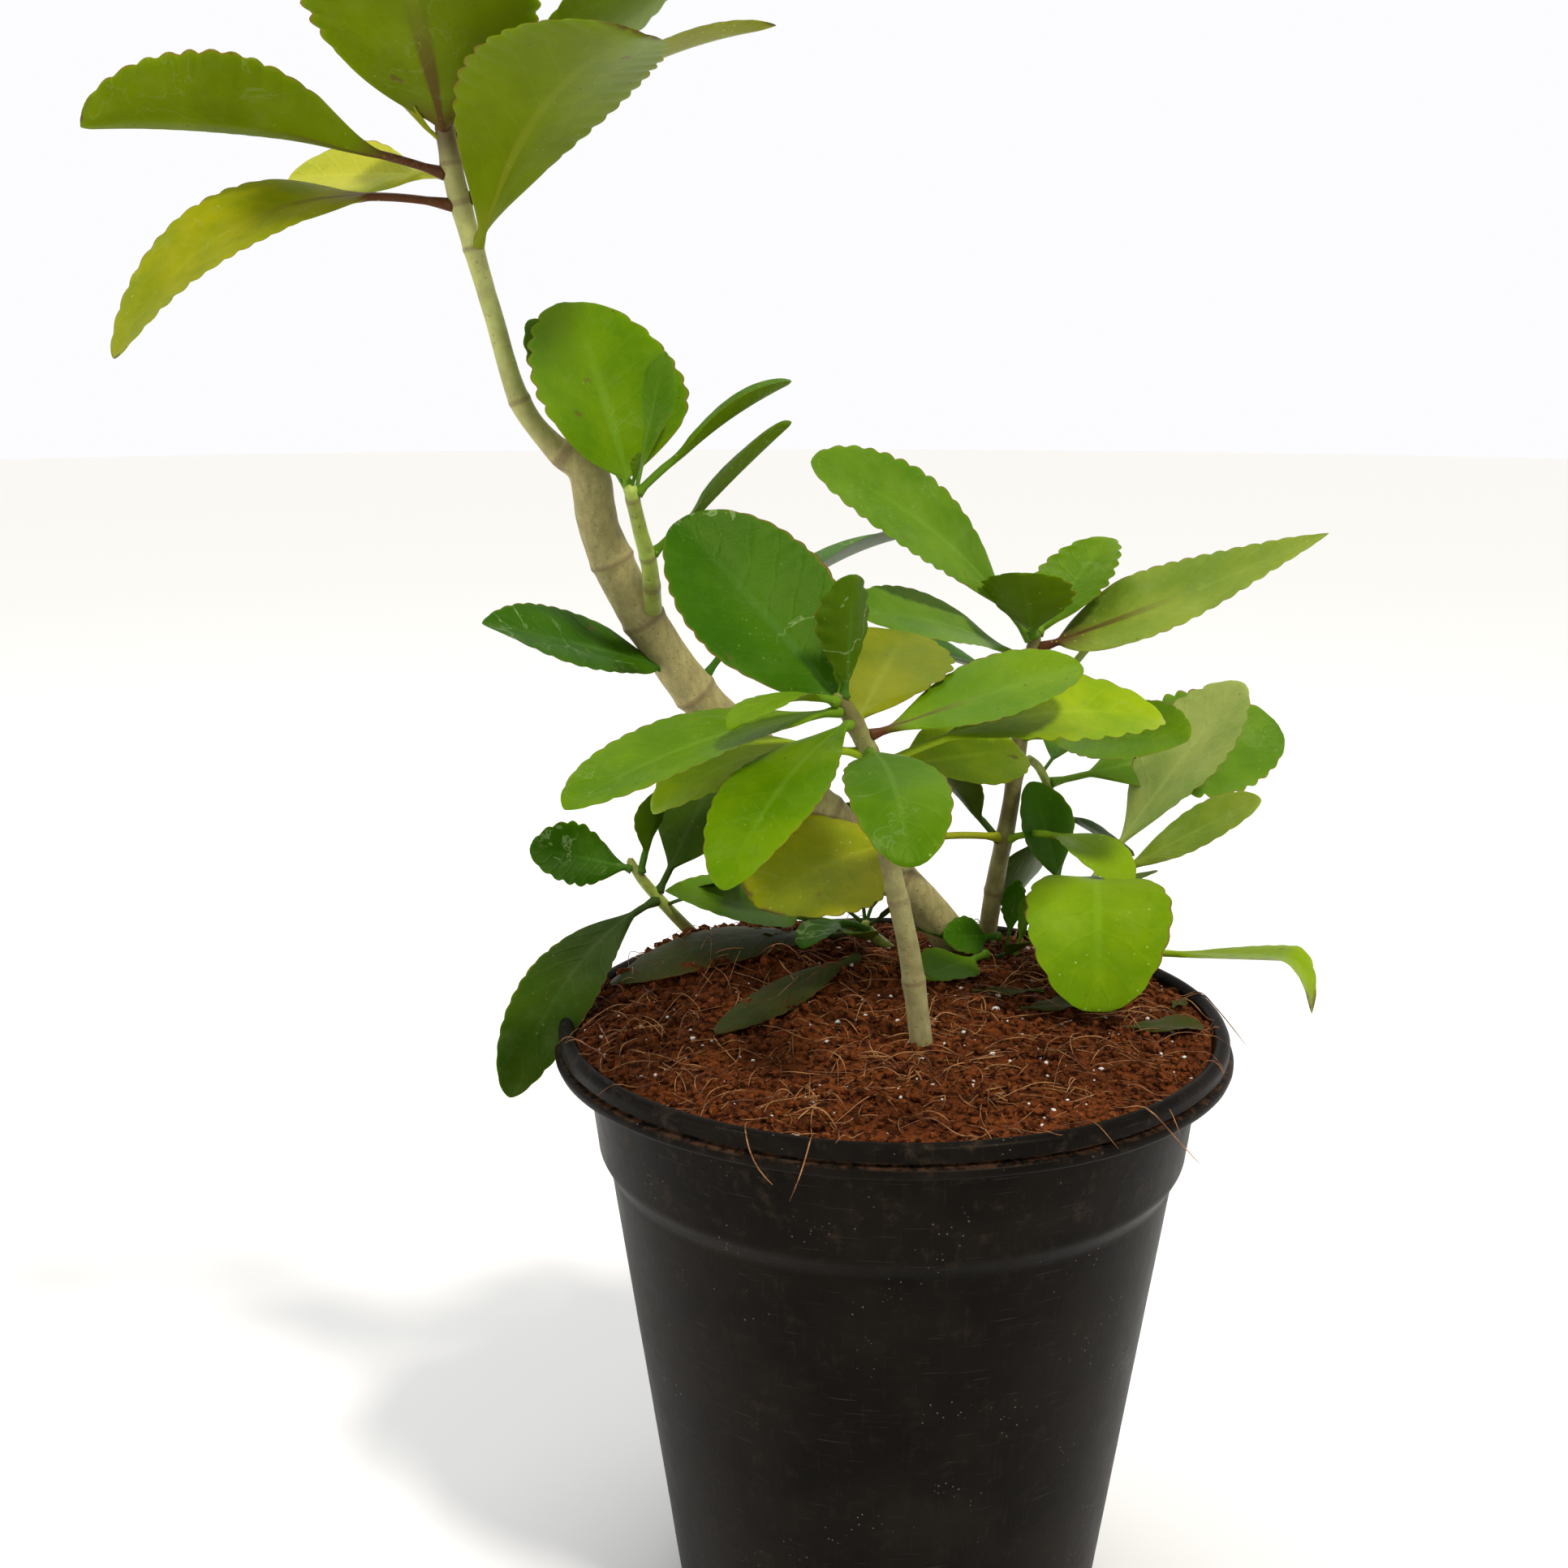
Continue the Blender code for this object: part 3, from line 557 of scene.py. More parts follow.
def coir(name, count, seed, lengths, radii, lift, finish, edge=False):
    """Springy fibres on the peat. With edge they start near the collar and lie across it."""
    pick = random.Random(seed)
    points, faces = [], []
    steps = 11
    for fibre in range(count):
        turn = 2 * math.pi * pick.random()
        away = SOIL_RADIUS * (pick.uniform(0.93, 0.99) if edge else 0.95 * math.sqrt(pick.random()))
        x, y = away * math.cos(turn), away * math.sin(turn)
        heading = turn + pick.uniform(-1.3, 1.3) if edge else 2 * math.pi * pick.random()
        bend = pick.uniform(-1.6, 1.6)
        length = pick.uniform(*lengths)
        rise = lift * pick.random() ** 2
        line = []
        for step in range(steps):
            share = step / (steps - 1)
            angle = heading + bend * share
            x += math.cos(angle) * length / steps
            y += math.sin(angle) * length / steps
            radius = math.hypot(x, y)
            ground = crumbly_height(x, y) if radius < SOIL_RADIUS - 0.5 else POT_TOP + 0.25
            if radius > COLLAR_OUTER - 1.5:
                ground = POT_TOP - 1.2 * (radius - COLLAR_OUTER + 1.5)
            hump = rise * math.sin(math.pi * share) + 0.5 * pick.uniform(-1.0, 1.0) * share * (1 - share)
            line.append(Vector((x, y, ground + 0.25 + hump)))
        for _ in range(2):
            inner = [(a + b * 2 + c) / 4 for a, b, c in zip(line, line[1:], line[2:])]
            line = [line[0]] + inner + [line[-1]]
        faces += loft_faces(steps, 4, len(points))
        points += hair(line, pick.uniform(*radii))
    return piece(name, [p[:] for p in points], faces, finish, "coco_peat")


def coir_finish():
    f = Finish("coir", specular_ior_level=0.3)
    along = f.noise(160.0, 3.0)
    colour = f.mix(f.ramp(along, 0.35, 0.68), (0.115, 0.034, 0.010), (0.40, 0.185, 0.060))
    colour = f.mix(f.math("MULTIPLY", f.ramp(f.noise(900.0), 0.55, 0.7), 0.4), colour, (0.60, 0.38, 0.17))
    return f.wear(colour, f.math("ADD", f.math("MULTIPLY", along, 0.2), 0.5), f.noise(2500.0), 0.05)


fibre_finish = coir_finish()
coir("coir_fibres", 620, 21, (7.0, 26.0), (0.10, 0.22), 3.0, fibre_finish)
coir("coir_springs", 90, 22, (12.0, 30.0), (0.10, 0.2), 8.0, fibre_finish)
coir("coir_over_rim", 12, 23, (5.0, 10.0), (0.10, 0.2), 1.5, fibre_finish, edge=True)
print("coir fibres:", 620 + 90 + 26)

# %% [markdown]
# ## The stems
#
# The oldest stem leans out to the left, thick and corky, and then goes on much thinner and green from
# a kink where it was once cut back. Leaves have dropped from it and left rings. Each stem is a tube
# along the same route as its CAD solid, given as places and radii, with a spline between them. The
# tube swells at each ring, and its bark has low ridges along it, which are in the mesh so that the
# outline isn't a ruled line.

# %% Stem routes
STEMS = {
    "main_stem": [
        (25, 60, 186, 6.4), (12, 52, 204, 6.2), (-12, 43, 229, 6.2), (-36, 36, 253, 6.3), (-58, 28, 276, 6.2),
        (-75, 20, 303, 6.1), (-85, 15, 326, 5.9), (-88, 10, 344, 5.6), (-97, 8, 351, 3.4), (-106, 5, 364, 2.9), (-112, 3, 386, 2.6),
        (-117, 2, 405, 2.7), (-121, 0, 422, 2.9), (-123, -1, 437, 2.5), (-123, -2, 446, 1.6),
    ],
    "middle_shoot": [(-70, 13, 304, 2.6), (-70, 0, 318, 2.3), (-72, -7, 329, 2.1), (-74, -14, 341, 1.8)],
    "front_stem": [
        (7, -28, 186, 3.3), (3, -30, 214, 3.0), (-3, -32, 241, 2.8), (-7, -34, 266, 2.6), (-14, -38, 282, 2.4),
        (-18, -40, 288, 1.8),
    ],
    "right_stem": [
        (35, 68, 186, 3.1), (37, 60, 210, 2.9), (40, 54, 234, 2.7), (42, 48, 260, 2.6), (44, 43, 282, 2.3),
        (45, 41, 293, 1.7),
    ],
    "left_shoot": [(-62, 57, 192, 2.0), (-69, 53, 201, 1.9), (-77, 49, 212, 1.7), (-81, 48, 219, 1.2)],
    "low_right_shoot": [(52, 50, 186, 2.3), (57, 48, 200, 2.2), (61, 45, 208, 2.0), (65, 39, 213, 1.5)],
    "seedling": [(1, 60, 187, 1.8), (-3, 58, 191, 1.8), (-6, 55, 196, 1.4)],
    "side_twig": [(46, 57, 250, 1.3), (50, 61, 246, 1.4), (54, 64, 238, 1.4), (57, 66, 229, 1.2)],
}
RING_SCARS = {
    "main_stem": (213, 236, 258, 277, 300, 318, 349, 364, 405, 417, 427, 436),
    "front_stem": (205, 229, 250, 264, 272, 280),
    "right_stem": (205, 225, 247, 262, 278, 288),
    "middle_shoot": (312, 321, 338),
}


def spline(knots, at):
    """The Catmull-Rom value at a place counted in knots."""
    last = len(knots) - 1
    start = min(int(at), last - 1)
    u = at - start
    p, q, r, s = (np.array(knots[min(max(start + k, 0), last)], float) for k in (-1, 0, 1, 2))
    return 0.5 * (2 * q + (r - p) * u + (2 * p - 5 * q + 4 * r - s) * u**2 + (3 * q - p - 3 * r + s) * u**3)


def stem_line(name, step=1.2):
    """Samples (x, y, z, radius) along a stem, about a step apart."""
    knots = STEMS[name]
    line = []
    for knot in range(len(knots) - 1):
        count = max(2, round(math.dist(knots[knot][:3], knots[knot + 1][:3]) / step))
        line += [spline(knots, knot + n / count) for n in range(count)]
    return np.array(line + [np.array(knots[-1], float)])


def stem_skin(name, sides=26):
    """The skin of a stem and, at each point, (height share, scar, age), for its bark to read."""
    line = stem_line(name)
    if line[0][2] < 200.0:
        foot = line[0] - (line[4] - line[0]) * 1.5
        line = np.vstack([[*foot[:3], line[0][3] * 1.12], line])
    scars = RING_SCARS.get(name, ())
    points, bark = [], []
    across = Vector((1.0, 0.0, 0.0))
    count = len(line)
    for index, (x, y, z, radius) in enumerate(line):
        ahead = Vector(line[min(index + 1, count - 1)][:3] - line[max(index - 1, 0)][:3]).normalized()
        across = (across - ahead * across.dot(ahead)).normalized()
        other = ahead.cross(across)
        near = min([abs(z - scar) for scar in scars] + [99.0])
        ring = math.exp(-((near / 1.1) ** 2))
        swell = 1.0 + 0.085 * ring + 0.05 * math.exp(-((near / 5.0) ** 2))
        for side in range(sides):
            turn = 2 * math.pi * side / sides
            ridge = noise.noise(Vector((3.0 * math.cos(turn), 3.0 * math.sin(turn), index * 0.035)))
            knob = noise.noise(Vector((x / 5 + math.cos(turn), y / 5 + math.sin(turn), z / 5)))
            size = radius * (swell + 0.03 * ridge + 0.03 * knob)
            points.append(Vector((x, y, z)) + (math.cos(turn) * across + math.sin(turn) * other) * size)
            bark.append((index / count, ring, min(1.0, max(0.0, (radius - 1.9) / 3.0))))
    points += [Vector(line[0][:3]), Vector(line[-1][:3]) + ahead * line[-1][3] * 0.7]
    bark += [bark[0], bark[-1]]
    return [p[:] for p in points], loft_faces(count, sides), bark


# %% [markdown]
# ### Bark and green skin
#
# A young stem is smooth green with a purple flush. With age it turns to pale tan cork with lengthwise
# cracks and pores. The skin above keeps each point's age, worked out from its thickness, and one
# finish mixes from green to cork by that number, so that the change comes gradually up the stem.


# %% The stems' finish
def stem_finish(name, green, cork, flush, tip_flush=0.0):
    f = Finish(name, specular_ior_level=0.35)
    f.feed(f.shader.inputs["Subsurface Weight"], 0.08)
    f.feed(f.shader.inputs["Subsurface Scale"], 0.002)
    share, scar, age = f.parts(f.kept("bark", "Vector"))
    grain = f.noise(1.0, 6.0, 0.65, at=f.stretch(f.place(), 420.0, 420.0, 240.0))
    mottle = f.noise(95.0, 5.0, 0.6)
    pores = f.ramp(f.cells(430.0), 0.20, 0.08)
    skin = f.mix(f.ramp(mottle, 0.35, 0.68), green, tuple(c * 1.35 for c in green))
    skin = f.mix(f.math("MULTIPLY", f.ramp(mottle, 0.62, 0.42), 0.35), skin, flush)
    old = f.mix(f.ramp(grain, 0.32, 0.70), tuple(c * 0.80 for c in cork), tuple(c * 1.15 for c in cork))
    old = f.mix(f.math("MULTIPLY", f.ramp(mottle, 0.52, 0.78), 0.12), old, green)
    old = f.mix(f.math("MULTIPLY", f.ramp(f.cells(700.0), 0.16, 0.06), 0.55), old, (0.62, 0.60, 0.46))
    corky = f.ramp(f.math("ADD", age, f.math("MULTIPLY", f.math("SUBTRACT", mottle, 0.5), 0.6)), 0.10, 0.55)
    colour = f.mix(corky, skin, old)
    colour = f.mix(f.math("MULTIPLY", f.ramp(share, 0.915, 0.955), tip_flush), colour, (0.075, 0.034, 0.012))
    colour = f.mix(f.math("MULTIPLY", pores, 0.35), colour, (0.10, 0.065, 0.030))
    colour = f.mix(f.math("MULTIPLY", f.ramp(scar, 0.35, 0.9), 0.55), colour, (0.16, 0.10, 0.045))
    rough = f.math("ADD", f.math("MULTIPLY", corky, 0.25), 0.45)
    height = f.math("ADD", f.math("MULTIPLY", grain, 0.9), f.math("MULTIPLY", pores, -0.4))
    return f.wear(colour, rough, height, 0.28)


# The main stem's green is painted lighter than its own: painted light that makes up for the shade the top leaves cast
# on it.
woody = stem_finish("woody_stem_finish", (0.42, 0.480, 0.130), (0.32, 0.275, 0.105), (0.17, 0.075, 0.045), 0.85)
front_wood = stem_finish("front_stem_finish", (0.125, 0.140, 0.022), (0.33, 0.285, 0.125), (0.13, 0.055, 0.025))
green_skin = stem_finish("green_stem_finish", (0.26, 0.345, 0.050), (0.22, 0.20, 0.08), (0.16, 0.060, 0.045))
SKINS = {"main_stem": woody, "front_stem": front_wood, "right_stem": front_wood}
for name in STEMS:
    points, faces, bark = stem_skin(name)
    slot = "woody_stem" if name in SKINS else "green_stem"
    piece(name + "_bark", points, faces, SKINS.get(name, green_skin), slot, [name], bark=bark)
print("stems:", len(STEMS))

# %% [markdown]
# ## The shape of a leaf
#
# A kalanchoe leaf is a thick plate on a short stalk. Its line bows and droops, its halves fold up from
# the midrib, its margin is cut into shallow round teeth, and its underside carries the midrib as a
# keel. All of that is one loft: round sections for the stalk that flatten into thin lens sections
# for the blade. A shrinkwrapped or sculpted leaf would look as good, but with fifty leaves the loft
# pays: every leaf is one row of numbers.
#
# - azimuth and rise: where it points; roll: its turn about its own line
# - arch, fold and droop: how its line and its halves bend
# - petiole and widest: where the stalk ends, and where the blade is widest
# - teeth: how deep the scallops are; wave: how much the margin ripples

# %% Leaf sections
LEAF_SIDES = 30
MARGIN_SHARE = 0.16
STALK_RADIUS = 1.1
DROP_FROM = 0.72


def leaf_outline(u, widest, tip):
    """Share of the full width at a share u of the blade."""
    swell = math.sin(math.pi * min(1.0, max(0.0, u)) ** (math.log(0.5) / math.log(widest)))
    return max(0.0, swell) ** (0.92 if u < widest else tip)


def leaf_axes(azimuth, rise):
    turn, climb = math.radians(azimuth), math.radians(rise)
    along = Vector((math.cos(turn) * math.cos(climb), math.sin(turn) * math.cos(climb), math.sin(climb)))
    up = Vector((-math.cos(turn) * math.sin(climb), -math.sin(turn) * math.sin(climb), math.cos(climb)))
    return along, up, along.cross(up)


def lens_section(sides):
    """Places round a section as (across, level): across from -1 to 1, level 1 above and -1 below."""
    places = []
    for side in range(sides):
        turn = 2 * math.pi * side / sides
        across = math.cos(turn)
        across = math.copysign(abs(across) ** 0.82, across)
        places.append((across, math.sin(turn)))
    return places


SECTION = lens_section(LEAF_SIDES)
print("a leaf section has", LEAF_SIDES, "points")


# %% The leaf skin
def leaf_skin(start, azimuth, rise, length, width, look):
    """Points, faces, and at each point (along, across, upper), (stalk, margin, share of blade) and burn."""
    get = look.get
    arch, drop, fold = get("arch", 0.0), get("drop", 0.0), math.tan(math.radians(get("fold", 12)))
    petiole, widest, tip = get("petiole", 0.2), get("widest", 0.58), get("tip", 0.55)
    tooth, wave, curl = get("tooth", 0.35), get("wave", 0.5), get("curl", 0.0)
    thick, stalk = get("thick", 0.85), get("stalk", STALK_RADIUS)
    lean, twist = math.radians(get("roll", 0.0)), math.radians(get("twist", 0.0))
    sway, flat = get("sway", 0.0), get("flat", None)
    seed, burn, drop_from = get("seed", 0.0), get("burn", 0.0), get("drop_from", DROP_FROM)
    along, up, right = leaf_axes(azimuth, rise)
    teeth = max(6.0, length * (1 - petiole) / get("pitch", 5.0))
    rings = int(max(44, min(150, teeth * 7)))

    def centre_at(t):
        bend = max(0.0, (t - drop_from) / (1 - drop_from)) ** 1.5
        hang = Vector((0.0, 0.0, -drop)) - along * (0.6 * drop)
        bow = up * (4 * arch * length * t * (1 - t)) + right * (4 * sway * length * t * (1 - t))
        return start + along * (length * t) + bow + hang * bend

    points, blade, marks, burnt = [], [], [], []
    for ring in range(rings):
        t = ((ring + 0.3) / (rings - 0.4)) ** 0.97
        centre = centre_at(t)
        ahead = (centre_at(min(1.0, t + 0.01)) - centre_at(max(0.0, t - 0.01))).normalized()
        level = right.cross(ahead).normalized()
        turn = lean + twist * t
        out = level * math.cos(turn) + right * math.sin(turn)
        side = ahead.cross(out)
        u = (t - petiole) / (1 - petiole)
        swell = leaf_outline(u, widest, tip) if u > 0 else 0.0
        open_share = min(1.0, swell * 3.0)
        stalk_radius = stalk * (1.0 + 0.7 * max(0.0, 1 - t / 0.06)) * (1.0 if u < 0 else max(0.0, 1 - u) ** 0.5)
        half = max(stalk_radius, width / 2 * swell)
        scallop = abs(math.sin(math.pi * teeth * max(0.0, u) + seed))
        bite = 1.5 * tooth * (1 - scallop) * min(1.0, max(0.0, (u - 0.22) * 5)) * min(1.0, swell * 1.5)
        count = math.floor(teeth * max(0.0, u) + seed / math.pi)
        uneven = [1.0 + 0.75 * noise.noise(Vector((count * 1.7, seed, 4.0 * hand))) for hand in (0, 1)]
        for across, height in SECTION:
            reach = abs(across)
            edge = max(0.0, 1.0 - reach**3)
            ripple = wave * math.sin(9.0 * t + seed + (1.7 if across > 0 else 0.0)) * reach**2 * open_share
            lift = fold * half * (math.sqrt(reach**2 + 0.01) - 0.1) * min(1.0, max(0.0, u * 4))
            lift += curl * width * 0.5 * reach**4 * open_share + ripple
            near_rib = math.exp(-((across * half / 1.6) ** 2)) * open_share
            body = thick * (edge**0.5) * (0.55 + 0.45 * (1 - t))
            body = body * open_share + stalk_radius * (1 - open_share)
            if height >= 0:
                offset = body * height - 0.35 * near_rib * (1 - t)
            else:
                offset = body * height - get("keel", 0.75) * near_rib * (1 - 0.75 * t)
            scale = half - bite * uneven[across > 0] * reach**2
            point = centre + side * (across * scale) + out * (lift + offset)
            if flat:
                point.z = flat(point.x, point.y) + 2.0 + lift + offset
            points.append(point)
            blade.append((t, across * open_share, 1.0 if height > 0.02 else 0.0 if height < -0.02 else 0.5))
            marks.append((max(0.0, min(1.0, 1 - u * 7)) if u > 0 else 1.0, reach * open_share, u))
            burnt.append(max(0.0, (t - 1 + burn + 0.05 * (reach - 1)) / burn) if burn else 0.0)
    points += [centre_at(0.0), centre_at(1.0)]
    if flat:
        points[-1].z = flat(points[-1].x, points[-1].y) + 2.0
        points[-2].z = flat(points[-2].x, points[-2].y) + 2.0
    blade += [blade[0], (1.0, 0.0, 0.5)]
    marks += [marks[0], (0.0, 1.0, 1.0)]
    burnt += [0.0, 1.0 if burn else 0.0]
    return [p[:] for p in points], loft_faces(rings, LEAF_SIDES), blade, marks, burnt


# %% [markdown]
# ## The leaves' finishes
#
# The leaf tissue is green all through, so its colour changes slowly: yellow-green where it is young, and
# grey-green under a bloom of wax. The tones also hold painted light and shade: the bright yellow-green
# tones are painted light for leaves in full sun or lit through from behind, and the deep green tones are
# painted shade for leaves that lie in shadow. On that lie a paler midrib with side veins running forward
# from it, a stalk flushed purple-brown, fine pale dots, a thin brown line on the margin, and some scars.
# The finish reads along, across and upper from the mesh for the veins and the margin, so they follow
# each leaf's bends.
#
# Tones are given by name, so that a leaf's row can say which it has, with its light or shade painted in.

# %% Tones
# Each tone is (upper, under). The two darkest greens are painted shade for leaves in shadow; sun, gold, pale_gold and
# olive are partly painted light, the glow of sunlit leaves and of leaves lit through from behind.
TONES = {
    "olive": ((0.150, 0.175, 0.0012), (0.122, 0.172, 0.0012)),
    "gold": ((0.235, 0.250, 0.0025), (0.205, 0.220, 0.0020)),
    "pale_gold": ((0.330, 0.355, 0.0250), (0.290, 0.315, 0.0200)),
    "leaf": ((0.096, 0.190, 0.0010), (0.120, 0.185, 0.0020)),
    "meadow": ((0.066, 0.150, 0.0010), (0.090, 0.155, 0.0020)),
    "lime": ((0.145, 0.255, 0.0025), (0.165, 0.250, 0.0030)),
    "sun": ((0.210, 0.310, 0.0025), (0.200, 0.280, 0.0030)),
    "shaded_moss": ((0.031, 0.100, 0.0008), (0.055, 0.110, 0.0020)),
    "shaded_forest": ((0.022, 0.050, 0.0012), (0.035, 0.062, 0.0020)),
    "jade": ((0.085, 0.178, 0.0070), (0.110, 0.180, 0.0120)),
    "sage": ((0.160, 0.228, 0.0180), (0.170, 0.228, 0.0240)),
    "bloom": ((0.235, 0.300, 0.0620), (0.225, 0.280, 0.0600)),
    "litter": ((0.026, 0.040, 0.0050), (0.024, 0.026, 0.0050)),
}


# %% The leaf finish
def leaf_finish(name, upper, under, rib_share, stalk_colour, margin_share, wax, scars, scuff_share, freckles, dust):
    """One leaf tone. The shares are how strongly the ribs, margin, wax, scars and dust show."""
    f = Finish(name, specular_ior_level=0.12, ior=1.42)
    f.feed(f.shader.inputs["Specular Tint"], (0.80, 1.0, 0.25))
    f.feed(f.shader.inputs["Subsurface Weight"], 0.10)
    f.feed(f.shader.inputs["Subsurface Radius"], (0.6, 1.0, 0.15))
    f.feed(f.shader.inputs["Subsurface Scale"], 0.0015)
    along, across, above = f.parts(f.kept("blade", "Vector"))
    stalk, margin, blade = f.parts(f.kept("marks", "Vector"))
    reach = f.math("ABSOLUTE", across)
    cloud = f.noise(38.0, 4.0, 0.6)
    mottle = f.noise(210.0, 5.0, 0.65)
    cells = f.noise(1400.0, 3.0, 0.6)
    shade = tuple(c * k for c, k in zip(upper, (0.74, 0.84, 0.8)))
    light = tuple(c * k for c, k in zip(upper, (1.22, 1.12, 1.3)))
    top = f.mix(f.ramp(cloud, 0.34, 0.68), shade, light)
    top = f.mix(f.math("MULTIPLY", f.ramp(mottle, 0.42, 0.72), 0.30), top, light)
    below = f.mix(f.ramp(cloud, 0.30, 0.70), tuple(c * 0.85 for c in under), tuple(c * 1.15 for c in under))
    colour = f.mix(above, below, top)
    slant = f.math("SUBTRACT", f.math("MULTIPLY", blade, 8.0), f.math("MULTIPLY", reach, 1.7))
    slant = f.math("ADD", slant, f.math("MULTIPLY", f.math("SUBTRACT", cloud, 0.5), 1.6))
    stripe = f.math("PINGPONG", slant, 0.5)
    side_veins = f.math("MULTIPLY", f.ramp(stripe, 0.075, 0.0), f.math("MULTIPLY", f.ramp(reach, 0.95, 0.55), rib_share))
    colour = f.mix(f.math("MULTIPLY", side_veins, 0.5), colour, tuple(min(1.0, c * 1.4 + 0.01) for c in upper))
    rib = f.math("MULTIPLY", f.ramp(reach, 0.085, 0.02), f.ramp(along, 1.0, 0.55))
    rib_colour = tuple(min(1.0, c * 1.45 + 0.02) for c in upper)
    colour = f.mix(f.math("MULTIPLY", rib, rib_share), colour, rib_colour)
    stalk_mask = f.math("MULTIPLY", stalk, f.ramp(reach, 1.2, 0.2))
    colour = f.mix(stalk_mask, colour, stalk_colour)
    flush = f.math("MULTIPLY", f.ramp(reach, 0.11, 0.05), f.math("MULTIPLY", f.ramp(along, 0.6, 0.15), 0.8))
    colour = f.mix(flush, colour, stalk_colour)
    line = f.math("MULTIPLY", f.ramp(margin, 0.955, 0.995), f.ramp(f.noise(90.0, 3.0), 0.38, 0.55))
    colour = f.mix(f.math("MULTIPLY", line, margin_share), colour, (0.16, 0.050, 0.018))
    dots = f.math("MULTIPLY", f.ramp(f.cells(900.0), 0.17, 0.06), 0.30 * wax)
    colour = f.mix(dots, colour, tuple(min(1.0, c * 1.4 + 0.05) for c in upper))
    film = f.math("MULTIPLY", f.ramp(f.noise(85.0, 5.0, 0.7), 0.46, 0.76), wax)
    colour = f.mix(f.math("MULTIPLY", film, 0.14), colour, (0.33, 0.40, 0.16))
    blots = f.math("MULTIPLY", f.ramp(f.noise(120.0, 3.0, 0.5), 0.70, 0.76), scars)
    colour = f.mix(blots, colour, (0.115, 0.060, 0.018))
    pecks = f.math("MULTIPLY", f.ramp(f.cells(160.0), 0.075, 0.045), f.ramp(f.noise(40.0), 0.50, 0.56))
    colour = f.mix(f.math("MULTIPLY", pecks, scars), colour, (0.070, 0.040, 0.014))
    wander = f.math("ABSOLUTE", f.math("SUBTRACT", f.noise(55.0, 4.0, 0.55, distortion=0.6), 0.5))
    scuffs = f.math("MULTIPLY", f.ramp(wander, 0.010, 0.003), f.ramp(f.noise(22.0, 2.0), 0.52, 0.60))
    colour = f.mix(f.math("MULTIPLY", scuffs, scuff_share), colour, (0.36, 0.46, 0.20))
    pale = f.math("MULTIPLY", f.ramp(f.cells(330.0), 0.150, 0.085), f.ramp(f.noise(34.0, 2.0), 0.48, 0.58))
    colour = f.mix(f.math("MULTIPLY", pale, freckles), colour, (0.47, 0.52, 0.13))
    burnt = f.math("MULTIPLY", f.kept("burnt"), f.ramp(f.noise(300.0, 4.0), 0.34, 0.56))
    colour = f.mix(f.math("MINIMUM", f.math("MULTIPLY", burnt, 1.6), 1.0), colour, (0.085, 0.040, 0.016))
    if dust:
        grit = f.math("MULTIPLY", f.ramp(f.noise(240.0, 6.0, 0.75), 0.40, 0.62), dust)
        colour = f.mix(grit, colour, (0.075, 0.028, 0.010))
    rough = f.math("ADD", f.math("MULTIPLY", cloud, 0.14), f.math("MULTIPLY", film, 0.20))
    rough = f.math("ADD", rough, f.math("ADD", f.math("MULTIPLY", cells, 0.08), 0.30 + 0.35 * dust))
    height = f.math("ADD", f.math("MULTIPLY", cells, 0.34), f.math("MULTIPLY", mottle, 0.65))
    height = f.math("ADD", height, f.math("MULTIPLY", f.ramp(stripe, 0.16, 0.0), f.math("MULTIPLY", above, -0.25)))
    return f.wear(colour, rough, height, 0.22)


PURPLE = (0.085, 0.028, 0.014)
leaf_finishes = {}


def leaf_finish_for(tone, flushed):
    """The finish of a tone, with a purple or a green stalk, made when a leaf first asks for it."""
    if (tone, flushed) not in leaf_finishes:
        upper, under = TONES[tone]
        leaf_finishes[tone, flushed] = leaf_finish(
            tone + ("_flushed_leaf" if flushed else "_leaf"), upper, under,
            rib_share=0.25 if flushed is not True else 0.15,
            stalk_colour=PURPLE if flushed else tuple(c * 1.15 + 0.01 for c in upper),
            margin_share=0.8,
            wax={"sage": 0.9, "bloom": 1.0, "jade": 0.7}.get(tone, 0.35),
            scars=0.7,
            scuff_share={"shaded_moss": 0.32, "litter": 0.0}.get(tone, 0.08),
            freckles={"meadow": 0.4, "gold": 0.5, "lime": 0.45, "sage": 0.3}.get(tone, 0.12),
            dust=0.4 if tone == "litter" else 0.0,
        )
    return leaf_finishes[tone, flushed]


print("tones:", ", ".join(TONES))
